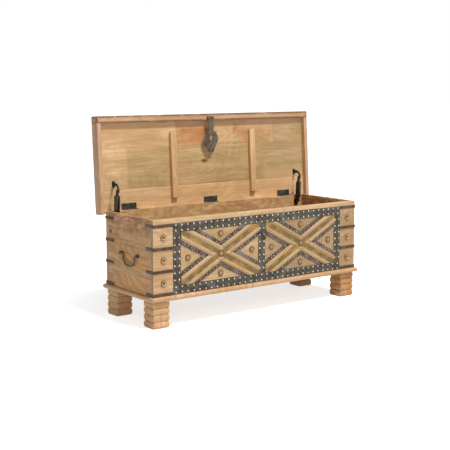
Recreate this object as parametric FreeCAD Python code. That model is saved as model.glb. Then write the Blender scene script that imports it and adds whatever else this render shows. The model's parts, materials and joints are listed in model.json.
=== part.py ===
import FreeCAD, Part
import math
import os

# A footed wooden storage chest with iron strapwork and a hinged cap lid, shown with the lid open.
# Millimetres. X runs along the chest, Y from front to back, Z up from the floor.

Vector = FreeCAD.Vector
X_AXIS = Vector(1, 0, 0)
Y_AXIS = Vector(0, 1, 0)
Z_AXIS = Vector(0, 0, 1)
FRONTWARD = Vector(0, -1, 0)

# Box
body_width = 1060.0
body_depth = 352.0
wall_height = 298.0
wall_thickness = 18.0
bottom_thickness = 12.0
bottom_rise = 8.0
groove_depth = 6.0

# Plinth and legs
base_thickness = 20.0
base_overhang = 12.0
base_rail_width = 92.0
leg_height = 106.0
leg_size = 74.0
leg_inset = 1.5
leg_cap_height = 26.0
leg_roll_count = 3
leg_notch = 3.5

# Iron straps round the corners and bands on the front
strap_count = 4
strap_width = 12.2
strap_thickness = 2.0
strap_gap_low = 1.0
strap_gap_high = 18.0
strap_side_front = 50.0
strap_side_back = 60.0
strap_back_reach = 60.0
frame_inset = 90.0
band_width = 36.0

# Nail heads on the bands
nail_radius = 3.7
nail_height = 2.2
nail_edge = 7.2
nail_end = 13.0
nail_pitch = 28.5

# Grooved cross bars in the two front fields
bar_width = 55.0
bar_edge_height = 5.0
bar_crest_height = 9.0
bar_bead_width = 16.0
bar_groove_side = 5.5
bar_groove_floor = 4.0
bar_lap_height = 2.0

# Toothed iron strips along the cross bars
saw_width = 12.0
saw_tooth_height = 7.0
saw_tooth_pitch = 12.0

# Turned rosettes
stud_radius = 13.0
stud_height = 5.0
stud_edge = 1.5
stud_ring_height = 4.2
stud_groove_radius = 8.2
stud_groove_height = 2.2
stud_margin_x = 34.0
stud_margin_z = 23.0
stud_seat_height = 3.4
stud_clearance = 0.1

# Drop handles
handle_rise = 146.0
handle_eye_spacing = 122.0
handle_forward = 8.0
handle_play = 1.5
bail_rod_radius = 4.0
bail_end_reach = 6.5
bail_shoulder_inset = 17.0
bail_foot_inset = 10.0
bail_drop = 46.0
bail_shoulder_bend = 8.0
bail_foot_bend = 33.0
eye_thickness = 4.5
eye_wall = 2.5
eye_stem_height = 6.0
rosette_radius = 6.0
rosette_thickness = 1.5

# Butt hinges
hinge_inset = 113.0
hinge_length = 72.0
knuckle_radius = 3.5
knuckle_count = 5
knuckle_clearance = 0.3
hinge_pin_radius = 1.5
leaf_thickness = 1.4
leaf_gap = 0.2
body_leaf_reach = 16.0
lid_leaf_reach = 26.0
hinge_screw_end = 12.0
screw_radius = 1.5
screw_head_radius = 3.0
screw_length = 12.0
screw_clearance = 0.05

# Lid
lid_panel_thickness = 24.0
lid_rim_drop = 18.0
lid_side_rim = 19.0
lid_front_rim = 28.0
lid_side_play = 14.0
lid_front_play = 6.0
lid_edge_round = 6.0
lid_back_overhang = 12.0
lid_open_angle = 93.5
lid_front_plank = 107.0
lid_middle_plank = 168.0

# Battens under the lid
batten_width = 28.0
batten_thickness = 15.0
batten_front_margin = 46.0
batten_back_margin = 44.0
batten_left_x = -190.0
batten_right_x = 236.0
batten_round = 3.0

# Hasp and staple
hasp_thickness = 3.0
hasp_strap_width = 24.0
hasp_disc_radius = 37.0
hasp_slot_drop = 90.0
hasp_slot_side_play = 4.75
hasp_slot_end_play = 2.0
hasp_tip_drop = 148.0
hasp_tip_width = 24.0
hasp_shoulder_drop = 23.0
hasp_knuckle_radius = 4.5
hasp_pin_radius = 2.0
hasp_pivot_inset = 9.0
hasp_lug_thickness = 3.5
hasp_lug_gap = 0.4
hasp_bracket_thickness = 1.5
hasp_bracket_depth = 13.0
hasp_pin_overhang = 0.6
staple_rod_radius = 2.75
staple_spacing = 16.0
staple_reach = 26.0
staple_root = 9.0
staple_clearance = 0.1

# Lid stays
stay_inset = 25.0
stay_wall_play = 1.0
stay_pin_below = 24.2
stay_lid_reach = 107.0
stay_lid_standoff = 16.0
stay_pin_radius = 3.0
stay_tongue_thickness = 5.0
stay_tongue_radius = 7.0
stay_layer_gap = 0.4
stay_foot_ear = 3.2
stay_foot_ear_radius = 8.0
stay_foot_thickness = 2.0
stay_foot_width = 22.0
stay_foot_below = 21.0
damper_radius = 12.0
damper_foot_gap = 6.0
damper_stop = 18.5
damper_chamfer = 1.5
arm_thickness = 4.0
arm_width = 8.0
arm_bulge = 12.0
pin_head_radius = 4.5
pin_head_thickness = 1.5
ear_plate_length = 28.0
ear_plate_width = 14.0
ear_plate_thickness = 2.0

# Radial clearance of every turning fit
running_clearance = 0.05

# Two edges this close count as one place
same_place = 1e-6

# Planes and places worked out from the sizes above
half_width = body_width / 2
half_depth = body_depth / 2
wall_bottom = leg_height + base_thickness
wall_top = wall_bottom + wall_height
inner_half_width = half_width - wall_thickness
inner_half_depth = half_depth - wall_thickness
front_face = -half_depth
iron_face = front_face - strap_thickness

strap_bottom = wall_bottom + strap_gap_low
strap_top = wall_top - strap_gap_high
strap_pitch = (strap_top - strap_bottom - strap_width) / (strap_count - 1)
frame_half_width = half_width - frame_inset
field_half_width = (frame_half_width - band_width * 1.5) / 2
field_half_height = (strap_top - strap_bottom) / 2 - band_width
field_centre_x = frame_half_width - band_width - field_half_width
field_centre_z = (strap_top + strap_bottom) / 2
cross_angle = math.degrees(math.atan2(field_half_height, field_half_width))

lid_gap = 2 * leaf_thickness + leaf_gap
hinge_y = half_depth
hinge_z = wall_top + lid_gap - knuckle_radius - knuckle_clearance
lid_inner = wall_top + lid_gap
lid_top = lid_inner + lid_panel_thickness
lid_rim_bottom = lid_inner - lid_rim_drop
lid_back = hinge_y + lid_back_overhang
panel_front = front_face - lid_front_play
lid_front = panel_front - lid_front_rim
panel_half_width = half_width + lid_side_play
lid_half_width = panel_half_width + lid_side_rim

hasp_pivot_y = panel_front - hasp_pivot_inset
hasp_pivot_z = lid_rim_bottom - hasp_bracket_thickness - knuckle_clearance - hasp_knuckle_radius
staple_z = hasp_pivot_z - hasp_slot_drop

handle_z = wall_bottom + handle_rise
handle_axis_x = half_width + bail_rod_radius + eye_wall + handle_play


def opened(y, z):
    """Where a point of the closed lid stands when the lid is open."""
    angle = math.radians(lid_open_angle)
    dy = y - hinge_y
    dz = z - hinge_z
    new_y = hinge_y + dy * math.cos(angle) + dz * math.sin(angle)
    new_z = hinge_z - dy * math.sin(angle) + dz * math.cos(angle)
    return new_y, new_z


stay_pin_forward = wall_thickness + damper_radius + stay_wall_play
stay_foot_y = hinge_y - stay_pin_forward
stay_foot_z = hinge_z - stay_pin_below
stay_ear_y = hinge_y - stay_lid_reach
stay_ear_z = lid_inner - stay_lid_standoff
stay_top_y, stay_top_z = opened(stay_ear_y, stay_ear_z)
stay_elbow_y = stay_top_y - stay_pin_forward
stay_elbow_z = stay_top_z - stay_pin_below
hasp_open_y, hasp_open_z = opened(hasp_pivot_y, hasp_pivot_z)


def block(x0, x1, y0, y1, z0, z1):
    return Part.makeBox(x1 - x0, y1 - y0, z1 - z0, Vector(x0, y0, z0))


def rod_x(x0, x1, y, z, radius):
    return Part.makeCylinder(radius, x1 - x0, Vector(x0, y, z), X_AXIS)


def rod_y(y0, y1, x, z, radius):
    return Part.makeCylinder(radius, y1 - y0, Vector(x, y0, z), Y_AXIS)


def prism(points, travel):
    """A straight-sided solid from an outline of corner points."""
    outline = Part.makePolygon(points + [points[0]])
    return Part.Face(outline).extrude(travel)


def line(start, end):
    return Part.LineSegment(start, end).toShape()


def arc(start, middle, end):
    return Part.Arc(start, middle, end).toShape()


def joined(shapes):
    """One solid from pieces that meet."""
    first = shapes[0]
    return first.fuse(shapes[1:]).removeSplitter()


def bent_rod(points, bends, radius):
    """A round bar through corner points, with a bend radius at each inner corner."""
    edges = []
    start = points[0]
    for index, bend in enumerate(bends):
        corner = points[index + 1]
        before = (points[index] - corner).normalize()
        after = (points[index + 2] - corner).normalize()
        half_turn = (math.pi - before.getAngle(after)) / 2
        tangent = bend * math.tan(half_turn)
        middle_way = (before + after).normalize()
        arc_middle = corner + middle_way * (bend / math.cos(half_turn) - bend)
        arc_start = corner + before * tangent
        arc_end = corner + after * tangent
        edges.append(line(start, arc_start))
        edges.append(arc(arc_start, arc_middle, arc_end))
        start = arc_end
    edges.append(line(start, points[-1]))
    section = Part.Wire(Part.makeCircle(radius, points[0], points[1] - points[0]))
    return Part.Wire(edges).makePipeShell([section], True, False)


def base_rail(half_run, half_reach):
    """One bull-nosed plinth rail along X on the front side, mitred at both ends."""
    outer_run = half_run + base_overhang
    outer_reach = half_reach + base_overhang
    nose_y = -(outer_reach - base_thickness / 2)
    inner_y = -(outer_reach - base_rail_width)
    middle = leg_height + base_thickness / 2
    corners = [
        Vector(-outer_run, inner_y, leg_height),
        Vector(-outer_run, nose_y, leg_height),
        Vector(-outer_run, nose_y, wall_bottom),
        Vector(-outer_run, inner_y, wall_bottom),
    ]
    nose = arc(corners[1], Vector(-outer_run, -outer_reach, middle), corners[2])
    section = Part.Wire([
        line(corners[0], corners[1]),
        nose,
        line(corners[2], corners[3]),
        line(corners[3], corners[0]),
    ])
    bar = Part.Face(section).extrude(X_AXIS * (2 * outer_run))
    inner_run = outer_run - base_rail_width
    mitres = prism([
        Vector(-outer_run, -outer_reach, leg_height),
        Vector(outer_run, -outer_reach, leg_height),
        Vector(inner_run, inner_y, leg_height),
        Vector(-inner_run, inner_y, leg_height),
    ], Z_AXIS * base_thickness)
    return bar.common(mitres)


def leg_outline(place):
    """The rolled outline of a leg, as a face in the plane that place() gives."""
    half = leg_size / 2
    roll = (leg_height - leg_cap_height) / leg_roll_count
    levels = [roll * index for index in range(leg_roll_count + 1)] + [leg_height]
    waist = half - leg_notch
    edges = [line(place(-waist, 0), place(waist, 0))]
    for low, high in zip(levels, levels[1:]):
        edges.append(arc(place(waist, low), place(half, (low + high) / 2), place(waist, high)))
    edges.append(line(place(waist, leg_height), place(-waist, leg_height)))
    for high, low in zip(levels[::-1], levels[-2::-1]):
        edges.append(arc(place(-waist, high), place(-half, (low + high) / 2), place(-waist, low)))
    return Part.Face(Part.Wire(edges))


def leg(side_x, side_y):
    """A square leg with rolled faces, under one corner of the plinth."""
    half = leg_size / 2
    across = leg_outline(lambda u, z: Vector(u, -half, z)).extrude(Y_AXIS * leg_size)
    along = leg_outline(lambda u, z: Vector(-half, u, z)).extrude(X_AXIS * leg_size)
    solid = across.common(along)
    centre_x = half_width - leg_inset - half
    centre_y = half_depth - leg_inset - half
    solid.translate(Vector(side_x * centre_x, side_y * centre_y, 0))
    return solid


def corner_straps(side_x, side_y, face_reach, side_reach):
    """The iron straps bent round one corner, one above another."""
    outer_x = half_width + strap_thickness
    outer_y = half_depth + strap_thickness
    plan = [
        (half_width - face_reach, outer_y),
        (outer_x, outer_y),
        (outer_x, half_depth - side_reach),
        (half_width, half_depth - side_reach),
        (half_width, half_depth),
        (half_width - face_reach, half_depth),
    ]
    straps = []
    for index in range(strap_count):
        low = strap_bottom + strap_pitch * index
        points = [Vector(side_x * x, side_y * y, low) for x, y in plan]
        straps.append(prism(points, Z_AXIS * strap_width))
    return Part.makeCompound(straps)


def band(x0, x1, z0, z1):
    return block(x0, x1, iron_face, front_face, z0, z1)


def even_places(first, last, pitch):
    """Places from first to last, as near to the pitch as comes out even."""
    steps = max(1, round((last - first) / pitch))
    return [first + (last - first) * index / steps for index in range(steps + 1)]


def nail_head(x, z):
    sphere_radius = (nail_radius ** 2 + nail_height ** 2) / (2 * nail_height)
    depth = sphere_radius - nail_height
    low_angle = math.degrees(math.asin(depth / sphere_radius))
    return Part.makeSphere(sphere_radius, Vector(x, iron_face + depth, z), FRONTWARD, low_angle, 90, 360)


def band_nails():
    """Two rows of heads along every band."""
    top_rows = [strap_top - nail_edge, strap_top - band_width + nail_edge]
    bottom_rows = [strap_bottom + nail_edge, strap_bottom + band_width - nail_edge]
    row_end = frame_half_width - nail_end
    heads = []
    for x in even_places(-row_end, row_end, nail_pitch):
        for z in top_rows + bottom_rows:
            heads.append(nail_head(x, z))
    stile_centres = [band_width / 2 - frame_half_width, 0.0, frame_half_width - band_width / 2]
    column_places = even_places(bottom_rows[1], top_rows[1], nail_pitch)[1:-1]
    column_offset = band_width / 2 - nail_edge
    for centre in stile_centres:
        for z in column_places:
            heads.append(nail_head(centre - column_offset, z))
            heads.append(nail_head(centre + column_offset, z))
    return Part.makeCompound(heads)


def field_block(centre_x, height):
    """The space of one front field, out to a height above the wall."""
    return block(centre_x - field_half_width, centre_x + field_half_width, front_face - height, front_face,
                 field_centre_z - field_half_height, field_centre_z + field_half_height)


def laid_across(solid, centre_x, slope):
    """Turn a bar that lies along X to the slope of a cross bar, and set it in its field."""
    solid.rotate(Vector(0, 0, 0), Y_AXIS, -slope * cross_angle)
    solid.translate(Vector(centre_x, front_face, field_centre_z))
    return solid


def bar_half_length():
    return math.hypot(field_half_width, field_half_height) + bar_width


def full_bar(centre_x, slope):
    """A cross bar with two rounded beads and a groove, before it is lapped."""
    start = -bar_half_length()
    half = bar_width / 2
    groove_half = half - bar_bead_width
    crest = half - bar_bead_width / 2

    def at(u, height):
        return Vector(start, -height, u)

    section = Part.Wire([
        line(at(-half, 0), at(half, 0)),
        line(at(half, 0), at(half, bar_edge_height)),
        arc(at(half, bar_edge_height), at(crest, bar_crest_height), at(groove_half, bar_groove_side)),
        arc(at(groove_half, bar_groove_side), at(0, bar_groove_floor), at(-groove_half, bar_groove_side)),
        arc(at(-groove_half, bar_groove_side), at(-crest, bar_crest_height), at(-half, bar_edge_height)),
        line(at(-half, bar_edge_height), at(-half, 0)),
    ])
    bar = Part.Face(section).extrude(X_AXIS * (-2 * start))
    return laid_across(bar, centre_x, slope).common(field_block(centre_x, bar_crest_height))


def bar_track(centre_x, slope):
    """The whole strip of the front that a cross bar covers."""
    reach = bar_half_length()
    half = bar_width / 2
    track = block(-reach, reach, -2 * bar_crest_height, 0, -half, half)
    return laid_across(track, centre_x, slope)


def cross_bars(centre_x):
    """The rising and the falling bar of one field, half-lapped where they cross."""
    rising = full_bar(centre_x, 1)
    falling = full_bar(centre_x, -1)
    crossing = rising.common(falling)
    lap = field_block(centre_x, bar_lap_height)
    lower = joined([rising.cut(bar_track(centre_x, -1)), crossing.common(lap)])
    upper = joined([falling.cut(bar_track(centre_x, 1)), crossing.cut(lap)])
    seat_y = front_face - stud_seat_height
    seat = Part.makeCylinder(stud_radius + stud_clearance, bar_crest_height,
                             Vector(centre_x, seat_y, field_centre_z), FRONTWARD)
    return lower, upper.cut(seat)


def saw_strip(centre_x, way_x, way_z, side):
    """A toothed strip from the middle of a field out along one side of a cross bar."""
    reach = bar_half_length()
    near = bar_width / 2
    root = near + saw_width
    tip = root + saw_tooth_height
    teeth = math.ceil(reach / saw_tooth_pitch)
    profile = [(0, near)]
    for index in range(teeth):
        profile.append((index * saw_tooth_pitch, root))
        profile.append(((index + 0.5) * saw_tooth_pitch, tip))
    profile.append((teeth * saw_tooth_pitch, root))
    profile.append((teeth * saw_tooth_pitch, near))
    angle = math.radians(cross_angle)
    along = Vector(way_x * math.cos(angle), 0, way_z * math.sin(angle))
    out = Vector(-along.z, 0, along.x) * side
    centre = Vector(centre_x, front_face, field_centre_z)
    points = [centre + along * t + out * n for t, n in profile]
    return prism(points, FRONTWARD * strap_thickness)


def sawtooth(centre_x):
    """The four toothed angles of one field."""
    # Each angle lies between two half bars: the way each half bar runs, and the side that faces the angle.
    angles = [
        ((1, 1, 1), (-1, 1, -1)),
        ((1, -1, -1), (-1, -1, 1)),
        ((1, 1, -1), (1, -1, 1)),
        ((-1, 1, 1), (-1, -1, -1)),
    ]
    field = field_block(centre_x, strap_thickness)
    tracks = [bar_track(centre_x, 1), bar_track(centre_x, -1)]
    pieces = []
    for first, second in angles:
        strips = [saw_strip(centre_x, *first), saw_strip(centre_x, *second)]
        angle = joined(strips).cut(tracks).common(field)
        pieces.extend(angle.Solids)
    return Part.makeCompound(pieces)


def stud(x, y, z):
    """A turned rosette on a face that looks forward."""
    middle_radius = (stud_radius + stud_groove_radius) / 2
    dome_rise = stud_height - stud_groove_height
    dome_radius = (stud_groove_radius ** 2 + dome_rise ** 2) / (2 * dome_rise)
    dome_turn = math.asin(stud_groove_radius / dome_radius) / 2
    dome_middle = Vector(dome_radius * math.sin(dome_turn), 0,
                         stud_height - dome_radius * (1 - math.cos(dome_turn)))
    base = Vector(0, 0, 0)
    rim = Vector(stud_radius, 0, stud_edge)
    groove = Vector(stud_groove_radius, 0, stud_groove_height)
    crown = Vector(0, 0, stud_height)
    section = Part.Wire([
        line(base, Vector(stud_radius, 0, 0)),
        line(Vector(stud_radius, 0, 0), rim),
        arc(rim, Vector(middle_radius, 0, stud_ring_height), groove),
        arc(groove, dome_middle, crown),
        line(crown, base),
    ])
    solid = Part.Face(section).revolve(base, Z_AXIS, 360)
    solid.rotate(base, X_AXIS, 90)
    solid.translate(Vector(x, y, z))
    return solid


def cross_studs():
    studs = []
    for centre_x in (-field_centre_x, field_centre_x):
        reach_x = field_half_width - stud_margin_x
        reach_z = field_half_height - stud_margin_z
        studs.append(stud(centre_x, front_face - stud_seat_height, field_centre_z))
        for dx, dz in ((reach_x, 0), (-reach_x, 0), (0, reach_z), (0, -reach_z)):
            studs.append(stud(centre_x + dx, front_face, field_centre_z + dz))
    return Part.makeCompound(studs)


def corner_studs():
    studs = []
    centre_x = half_width - (frame_inset + strap_thickness) / 2
    for side in (-1, 1):
        for index in range(strap_count - 1):
            z = strap_bottom + strap_width / 2 + strap_pitch * (index + 0.5)
            studs.append(stud(side * centre_x, front_face, z))
    return Part.makeCompound(studs)


def staple():
    half = staple_spacing / 2
    root_y = front_face + staple_root
    bow_y = iron_face - staple_reach + staple_rod_radius
    points = [
        Vector(0, root_y, staple_z + half),
        Vector(0, bow_y, staple_z + half),
        Vector(0, bow_y, staple_z - half),
        Vector(0, root_y, staple_z - half),
    ]
    bend = half - staple_clearance
    return bent_rod(points, [bend, bend], staple_rod_radius)


def staple_holes():
    holes = []
    for side in (-1, 1):
        z = staple_z + side * staple_spacing / 2
        holes.append(rod_y(iron_face, front_face + staple_root, 0, z, staple_rod_radius + staple_clearance))
    return holes


def handle_eyes(side):
    """Two eyes on round plates, standing on one side wall."""
    axis_x = side * handle_axis_x
    wall_x = side * half_width
    half_stem = eye_stem_height / 2
    eyes = []
    for end in (-1, 1):
        y = end * handle_eye_spacing / 2 - handle_forward
        y0 = y - eye_thickness / 2
        y1 = y + eye_thickness / 2
        ring = rod_y(y0, y1, axis_x, handle_z, bail_rod_radius + eye_wall)
        stem = block(*sorted((axis_x, wall_x)), y0, y1, handle_z - half_stem, handle_z + half_stem)
        seat = Vector(wall_x, y, handle_z)
        plate = Part.makeCylinder(rosette_radius, rosette_thickness, seat, X_AXIS * side)
        bore = rod_y(y0, y1, axis_x, handle_z, bail_rod_radius + running_clearance)
        eyes.append(joined([ring, stem, plate]).cut(bore))
    return Part.makeCompound(eyes)


def handle_bail(side):
    """A drop bail hanging from its two eyes."""
    x = side * handle_axis_x
    end = handle_eye_spacing / 2 + bail_end_reach
    shoulder = handle_eye_spacing / 2 - bail_shoulder_inset
    foot = shoulder - bail_foot_inset
    foot_z = handle_z - bail_drop
    outline = [(-end, handle_z), (-shoulder, handle_z), (-foot, foot_z),
               (foot, foot_z), (shoulder, handle_z), (end, handle_z)]
    points = [Vector(x, y - handle_forward, z) for y, z in outline]
    bends = [bail_shoulder_bend, bail_foot_bend, bail_foot_bend, bail_shoulder_bend]
    return bent_rod(points, bends, bail_rod_radius)


hinge_reach = half_width - hinge_inset
hinge_places = [-hinge_reach, 0.0, hinge_reach]
knuckle_room = knuckle_radius + knuckle_clearance


def knuckle_spans(centre_x, own):
    """The stretches of X that one leaf's knuckles take: own is 0 for the box leaf, 1 for the lid leaf."""
    pitch = hinge_length / knuckle_count
    start = centre_x - hinge_length / 2
    half_gap = knuckle_clearance / 2
    return [(start + pitch * index + half_gap, start + pitch * (index + 1) - half_gap)
            for index in range(knuckle_count) if index % 2 == own]


def hinge_leaf(centre_x, own, reach, z0, z1):
    """A leaf with its knuckles, cut back where the other leaf's knuckles turn."""
    half = hinge_length / 2
    pieces = [block(centre_x - half, centre_x + half, hinge_y - reach, hinge_y, z0, z1)]
    for x0, x1 in knuckle_spans(centre_x, own):
        pieces.append(rod_x(x0, x1, hinge_y, hinge_z, knuckle_radius))
    leaf = joined(pieces)
    cuts = [rod_x(centre_x - half, centre_x + half, hinge_y, hinge_z, hinge_pin_radius + running_clearance)]
    for x0, x1 in knuckle_spans(centre_x, 1 - own):
        cuts.append(block(x0 - knuckle_clearance, x1 + knuckle_clearance, hinge_y - knuckle_room,
                          hinge_y + knuckle_room, hinge_z - knuckle_room, hinge_z + knuckle_room))
    return leaf.cut(cuts)


def screw(x, y, face_z, way, extra):
    """A countersunk screw with its head flush at face_z, driven along way; extra widens it for its hole."""
    head = Part.makeCone(screw_head_radius + extra, screw_radius + extra, leaf_thickness,
                         Vector(x, y, face_z), Z_AXIS * way)
    shank = Part.makeCylinder(screw_radius + extra, screw_length, Vector(x, y, face_z), Z_AXIS * way)
    return joined([head, shank])


body_leaf_top = wall_top + leaf_thickness
lid_leaf_bottom = lid_inner - leaf_thickness
body_screw_y = hinge_y - (body_leaf_reach + knuckle_room) / 2
lid_screw_y = hinge_y - (lid_leaf_reach + knuckle_room) / 2


def hinge_screws(y, face_z, way, extra):
    reach = hinge_length / 2 - hinge_screw_end
    return [screw(centre_x + offset, y, face_z, way, extra)
            for centre_x in hinge_places for offset in (-reach, 0, reach)]


def hinge_notches():
    """Room for the knuckles in the top outer edge of the back wall."""
    half = hinge_length / 2 + knuckle_clearance
    return [block(x - half, x + half, hinge_y - knuckle_room, hinge_y, hinge_z - knuckle_room, wall_top)
            for x in hinge_places]


def rounded_edges(solid, radius, wanted):
    """Round the straight edges whose middle point passes the test."""
    edges = [edge for edge in solid.Edges if wanted(edge.CenterOfMass)]
    return solid.makeFillet(radius, edges)


def near(a, b):
    return math.isclose(a, b, abs_tol=same_place)


def lid_rim_front():
    solid = block(-lid_half_width, lid_half_width, lid_front, panel_front, lid_rim_bottom, lid_top)

    def outer(point):
        at_front = near(point.y, lid_front)
        at_end = near(abs(point.x), lid_half_width)
        flat_edge = near(point.z, lid_rim_bottom) or near(point.z, lid_top)
        return (flat_edge and (at_front or at_end)) or (at_front and at_end)

    return rounded_edges(solid, lid_edge_round, outer)


def lid_rim_side(side):
    x0, x1 = sorted((side * panel_half_width, side * lid_half_width))
    solid = block(x0, x1, panel_front, lid_back, lid_rim_bottom, lid_top)

    def outer(point):
        flat_edge = near(point.z, lid_rim_bottom) or near(point.z, lid_top)
        return flat_edge and near(point.x, side * lid_half_width)

    return rounded_edges(solid, lid_edge_round, outer)


def lid_batten(x):
    half = batten_width / 2
    solid = block(x - half, x + half, panel_front + batten_front_margin, lid_back - batten_back_margin,
                  lid_inner - batten_thickness, lid_inner)
    return rounded_edges(solid, batten_round, lambda point: near(point.z, lid_inner - batten_thickness))


def hasp_bracket():
    """A plate under the lid's front rim with two lugs for the hasp."""
    lug_inner = hasp_strap_width / 2 + hasp_lug_gap
    lug_outer = lug_inner + hasp_lug_thickness
    plate_bottom = lid_rim_bottom - hasp_bracket_thickness
    plate_back = min(panel_front, hasp_pivot_y + hasp_bracket_depth / 2)
    plate_front = plate_back - hasp_bracket_depth
    pieces = [block(-lug_outer, lug_outer, plate_front, plate_back, plate_bottom, lid_rim_bottom)]
    for x0, x1 in ((-lug_outer, -lug_inner), (lug_inner, lug_outer)):
        pieces.append(rod_x(x0, x1, hasp_pivot_y, hasp_pivot_z, hasp_knuckle_radius))
        pieces.append(block(x0, x1, hasp_pivot_y - hasp_knuckle_radius, hasp_pivot_y + hasp_knuckle_radius,
                            hasp_pivot_z, lid_rim_bottom))
    bore = rod_x(-lug_outer, lug_outer, hasp_pivot_y, hasp_pivot_z, hasp_pin_radius + running_clearance)
    return joined(pieces).cut(bore)


def hasp_pin():
    end = hasp_strap_width / 2 + hasp_lug_gap + hasp_lug_thickness + hasp_pin_overhang
    return rod_x(-end, end, hasp_pivot_y, hasp_pivot_z, hasp_pin_radius)


def hasp_plate():
    """The hasp hanging plumb from the open lid: strap, pierced disc and tapered tip."""
    back = hasp_open_y - hasp_knuckle_radius + hasp_thickness
    front = back - hasp_thickness
    half_strap = hasp_strap_width / 2
    disc_z = hasp_open_z - hasp_slot_drop
    tip_z = hasp_open_z - hasp_tip_drop
    shoulder_z = disc_z - hasp_shoulder_drop
    shoulder = math.sqrt(hasp_disc_radius ** 2 - hasp_shoulder_drop ** 2)
    half_tip = hasp_tip_width / 2
    strap = block(-half_strap, half_strap, front, back, disc_z, hasp_open_z)
    disc = rod_y(front, back, 0, disc_z, hasp_disc_radius)
    taper = prism([
        Vector(-shoulder, front, shoulder_z),
        Vector(-half_tip, front, tip_z),
        Vector(half_tip, front, tip_z),
        Vector(shoulder, front, shoulder_z),
    ], Y_AXIS * hasp_thickness)
    knuckle = rod_x(-half_strap, half_strap, hasp_open_y, hasp_open_z, hasp_knuckle_radius)
    bore = rod_x(-half_strap, half_strap, hasp_open_y, hasp_open_z, hasp_pin_radius + running_clearance)
    half_slot = staple_rod_radius + hasp_slot_side_play
    straight = staple_spacing / 2 + staple_rod_radius + hasp_slot_end_play - half_slot
    slot = joined([
        block(-half_slot, half_slot, front, back, disc_z - straight, disc_z + straight),
        rod_y(front, back, 0, disc_z + straight, half_slot),
        rod_y(front, back, 0, disc_z - straight, half_slot),
    ])
    return joined([strap, disc, taper, knuckle]).cut([bore, slot])


stay_tongue_half = stay_tongue_thickness / 2
arm_layer = stay_tongue_half + stay_layer_gap
head_layer = arm_layer + arm_thickness + stay_layer_gap
stay_ear_x = inner_half_width - stay_inset


def ear_middle(side):
    """The middle plane of the bracket under the lid."""
    return side * stay_ear_x


def damper_middle(side):
    """The middle plane of the damper, which lies towards -X of its ear at both ends."""
    return ear_middle(side) - head_layer - stay_tongue_half


def about(middle, x0, x1):
    return middle + x0, middle + x1


def stay_pin(middle, way, y, z):
    """A headed pin that stands out of a middle layer, along +X or -X, and carries the arm."""
    tip = head_layer + pin_head_thickness
    shank = rod_x(*about(middle, *sorted((0, way * tip))), y, z, stay_pin_radius)
    head = rod_x(*about(middle, *sorted((way * head_layer, way * tip))), y, z, pin_head_radius)
    return [shank, head]


def stay_foot(side):
    """A forked bracket on the back wall, with the pin that carries the damper."""
    middle = damper_middle(side)
    wall_y = inner_half_depth
    plate_y = wall_y - stay_foot_thickness
    half_plate = stay_foot_width / 2
    ear0 = arm_layer
    ear1 = ear0 + stay_foot_ear
    pieces = [
        block(*about(middle, -half_plate, half_plate), plate_y, wall_y,
              stay_foot_z - stay_foot_below, stay_foot_z + stay_foot_ear_radius),
        rod_x(*about(middle, -ear1, ear1), stay_foot_y, stay_foot_z, stay_pin_radius),
    ]
    for x0, x1 in ((ear0, ear1), (-ear1, -ear0)):
        span = about(middle, x0, x1)
        pieces.append(rod_x(*span, stay_foot_y, stay_foot_z, stay_foot_ear_radius))
        pieces.append(block(*span, stay_foot_y, plate_y,
                            stay_foot_z - stay_foot_ear_radius, stay_foot_z + stay_foot_ear_radius))
    return joined(pieces)


def stay_damper(side):
    """The damper cylinder, with a flat eye at its foot and a pinned tongue at the elbow."""
    middle = damper_middle(side)
    length = math.hypot(stay_elbow_y - stay_foot_y, stay_elbow_z - stay_foot_z)
    span = about(middle, -stay_tongue_half, stay_tongue_half)
    barrel_foot = stay_foot_ear_radius + damper_foot_gap
    barrel_length = length - damper_stop - barrel_foot
    barrel = Part.makeCylinder(damper_radius, barrel_length, Vector(middle, 0, barrel_foot), Z_AXIS)
    rims = [edge for edge in barrel.Edges if len(edge.Vertexes) == 1]
    barrel = barrel.makeChamfer(damper_chamfer, rims)
    pieces = [
        barrel,
        block(*span, -stay_tongue_radius, stay_tongue_radius, 0, length),
        rod_x(*span, 0, 0, stay_tongue_radius),
        rod_x(*span, 0, length, stay_tongue_radius),
    ]
    solid = joined(pieces + stay_pin(middle, 1, 0, length))
    solid = solid.cut(rod_x(*span, 0, 0, stay_pin_radius + running_clearance))
    lean = math.degrees(math.atan2(stay_elbow_y - stay_foot_y, stay_elbow_z - stay_foot_z))
    solid.rotate(Vector(0, 0, 0), X_AXIS, -lean)
    solid.translate(Vector(0, stay_foot_y, stay_foot_z))
    return solid


def stay_arm(side):
    """The curved arm from the elbow to the lid."""
    x0, x1 = about(ear_middle(side), -arm_layer - arm_thickness, -arm_layer)
    low = Vector(x0, stay_elbow_y, stay_elbow_z)
    high = Vector(x0, stay_top_y, stay_top_z)
    chord = high - low
    half_chord = chord.Length / 2
    out = Vector(0, -chord.z, chord.y).normalize()
    curve = (half_chord ** 2 + arm_bulge ** 2) / (2 * arm_bulge)
    centre = (low + high) / 2 - out * (curve - arm_bulge)

    def on_curve(point, offset):
        return centre + (point - centre).normalize() * (curve + offset)

    crown = centre + out * curve
    half = arm_width / 2
    outline = Part.Wire([
        arc(on_curve(low, half), on_curve(crown, half), on_curve(high, half)),
        line(on_curve(high, half), on_curve(high, -half)),
        arc(on_curve(high, -half), on_curve(crown, -half), on_curve(low, -half)),
        line(on_curve(low, -half), on_curve(low, half)),
    ])
    strip = Part.Face(outline).extrude(X_AXIS * (x1 - x0))
    ends = [rod_x(x0, x1, point.y, point.z, stay_tongue_radius) for point in (low, high)]
    bores = [rod_x(x0, x1, point.y, point.z, stay_pin_radius + running_clearance) for point in (low, high)]
    return joined([strip] + ends).cut(bores)


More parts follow.
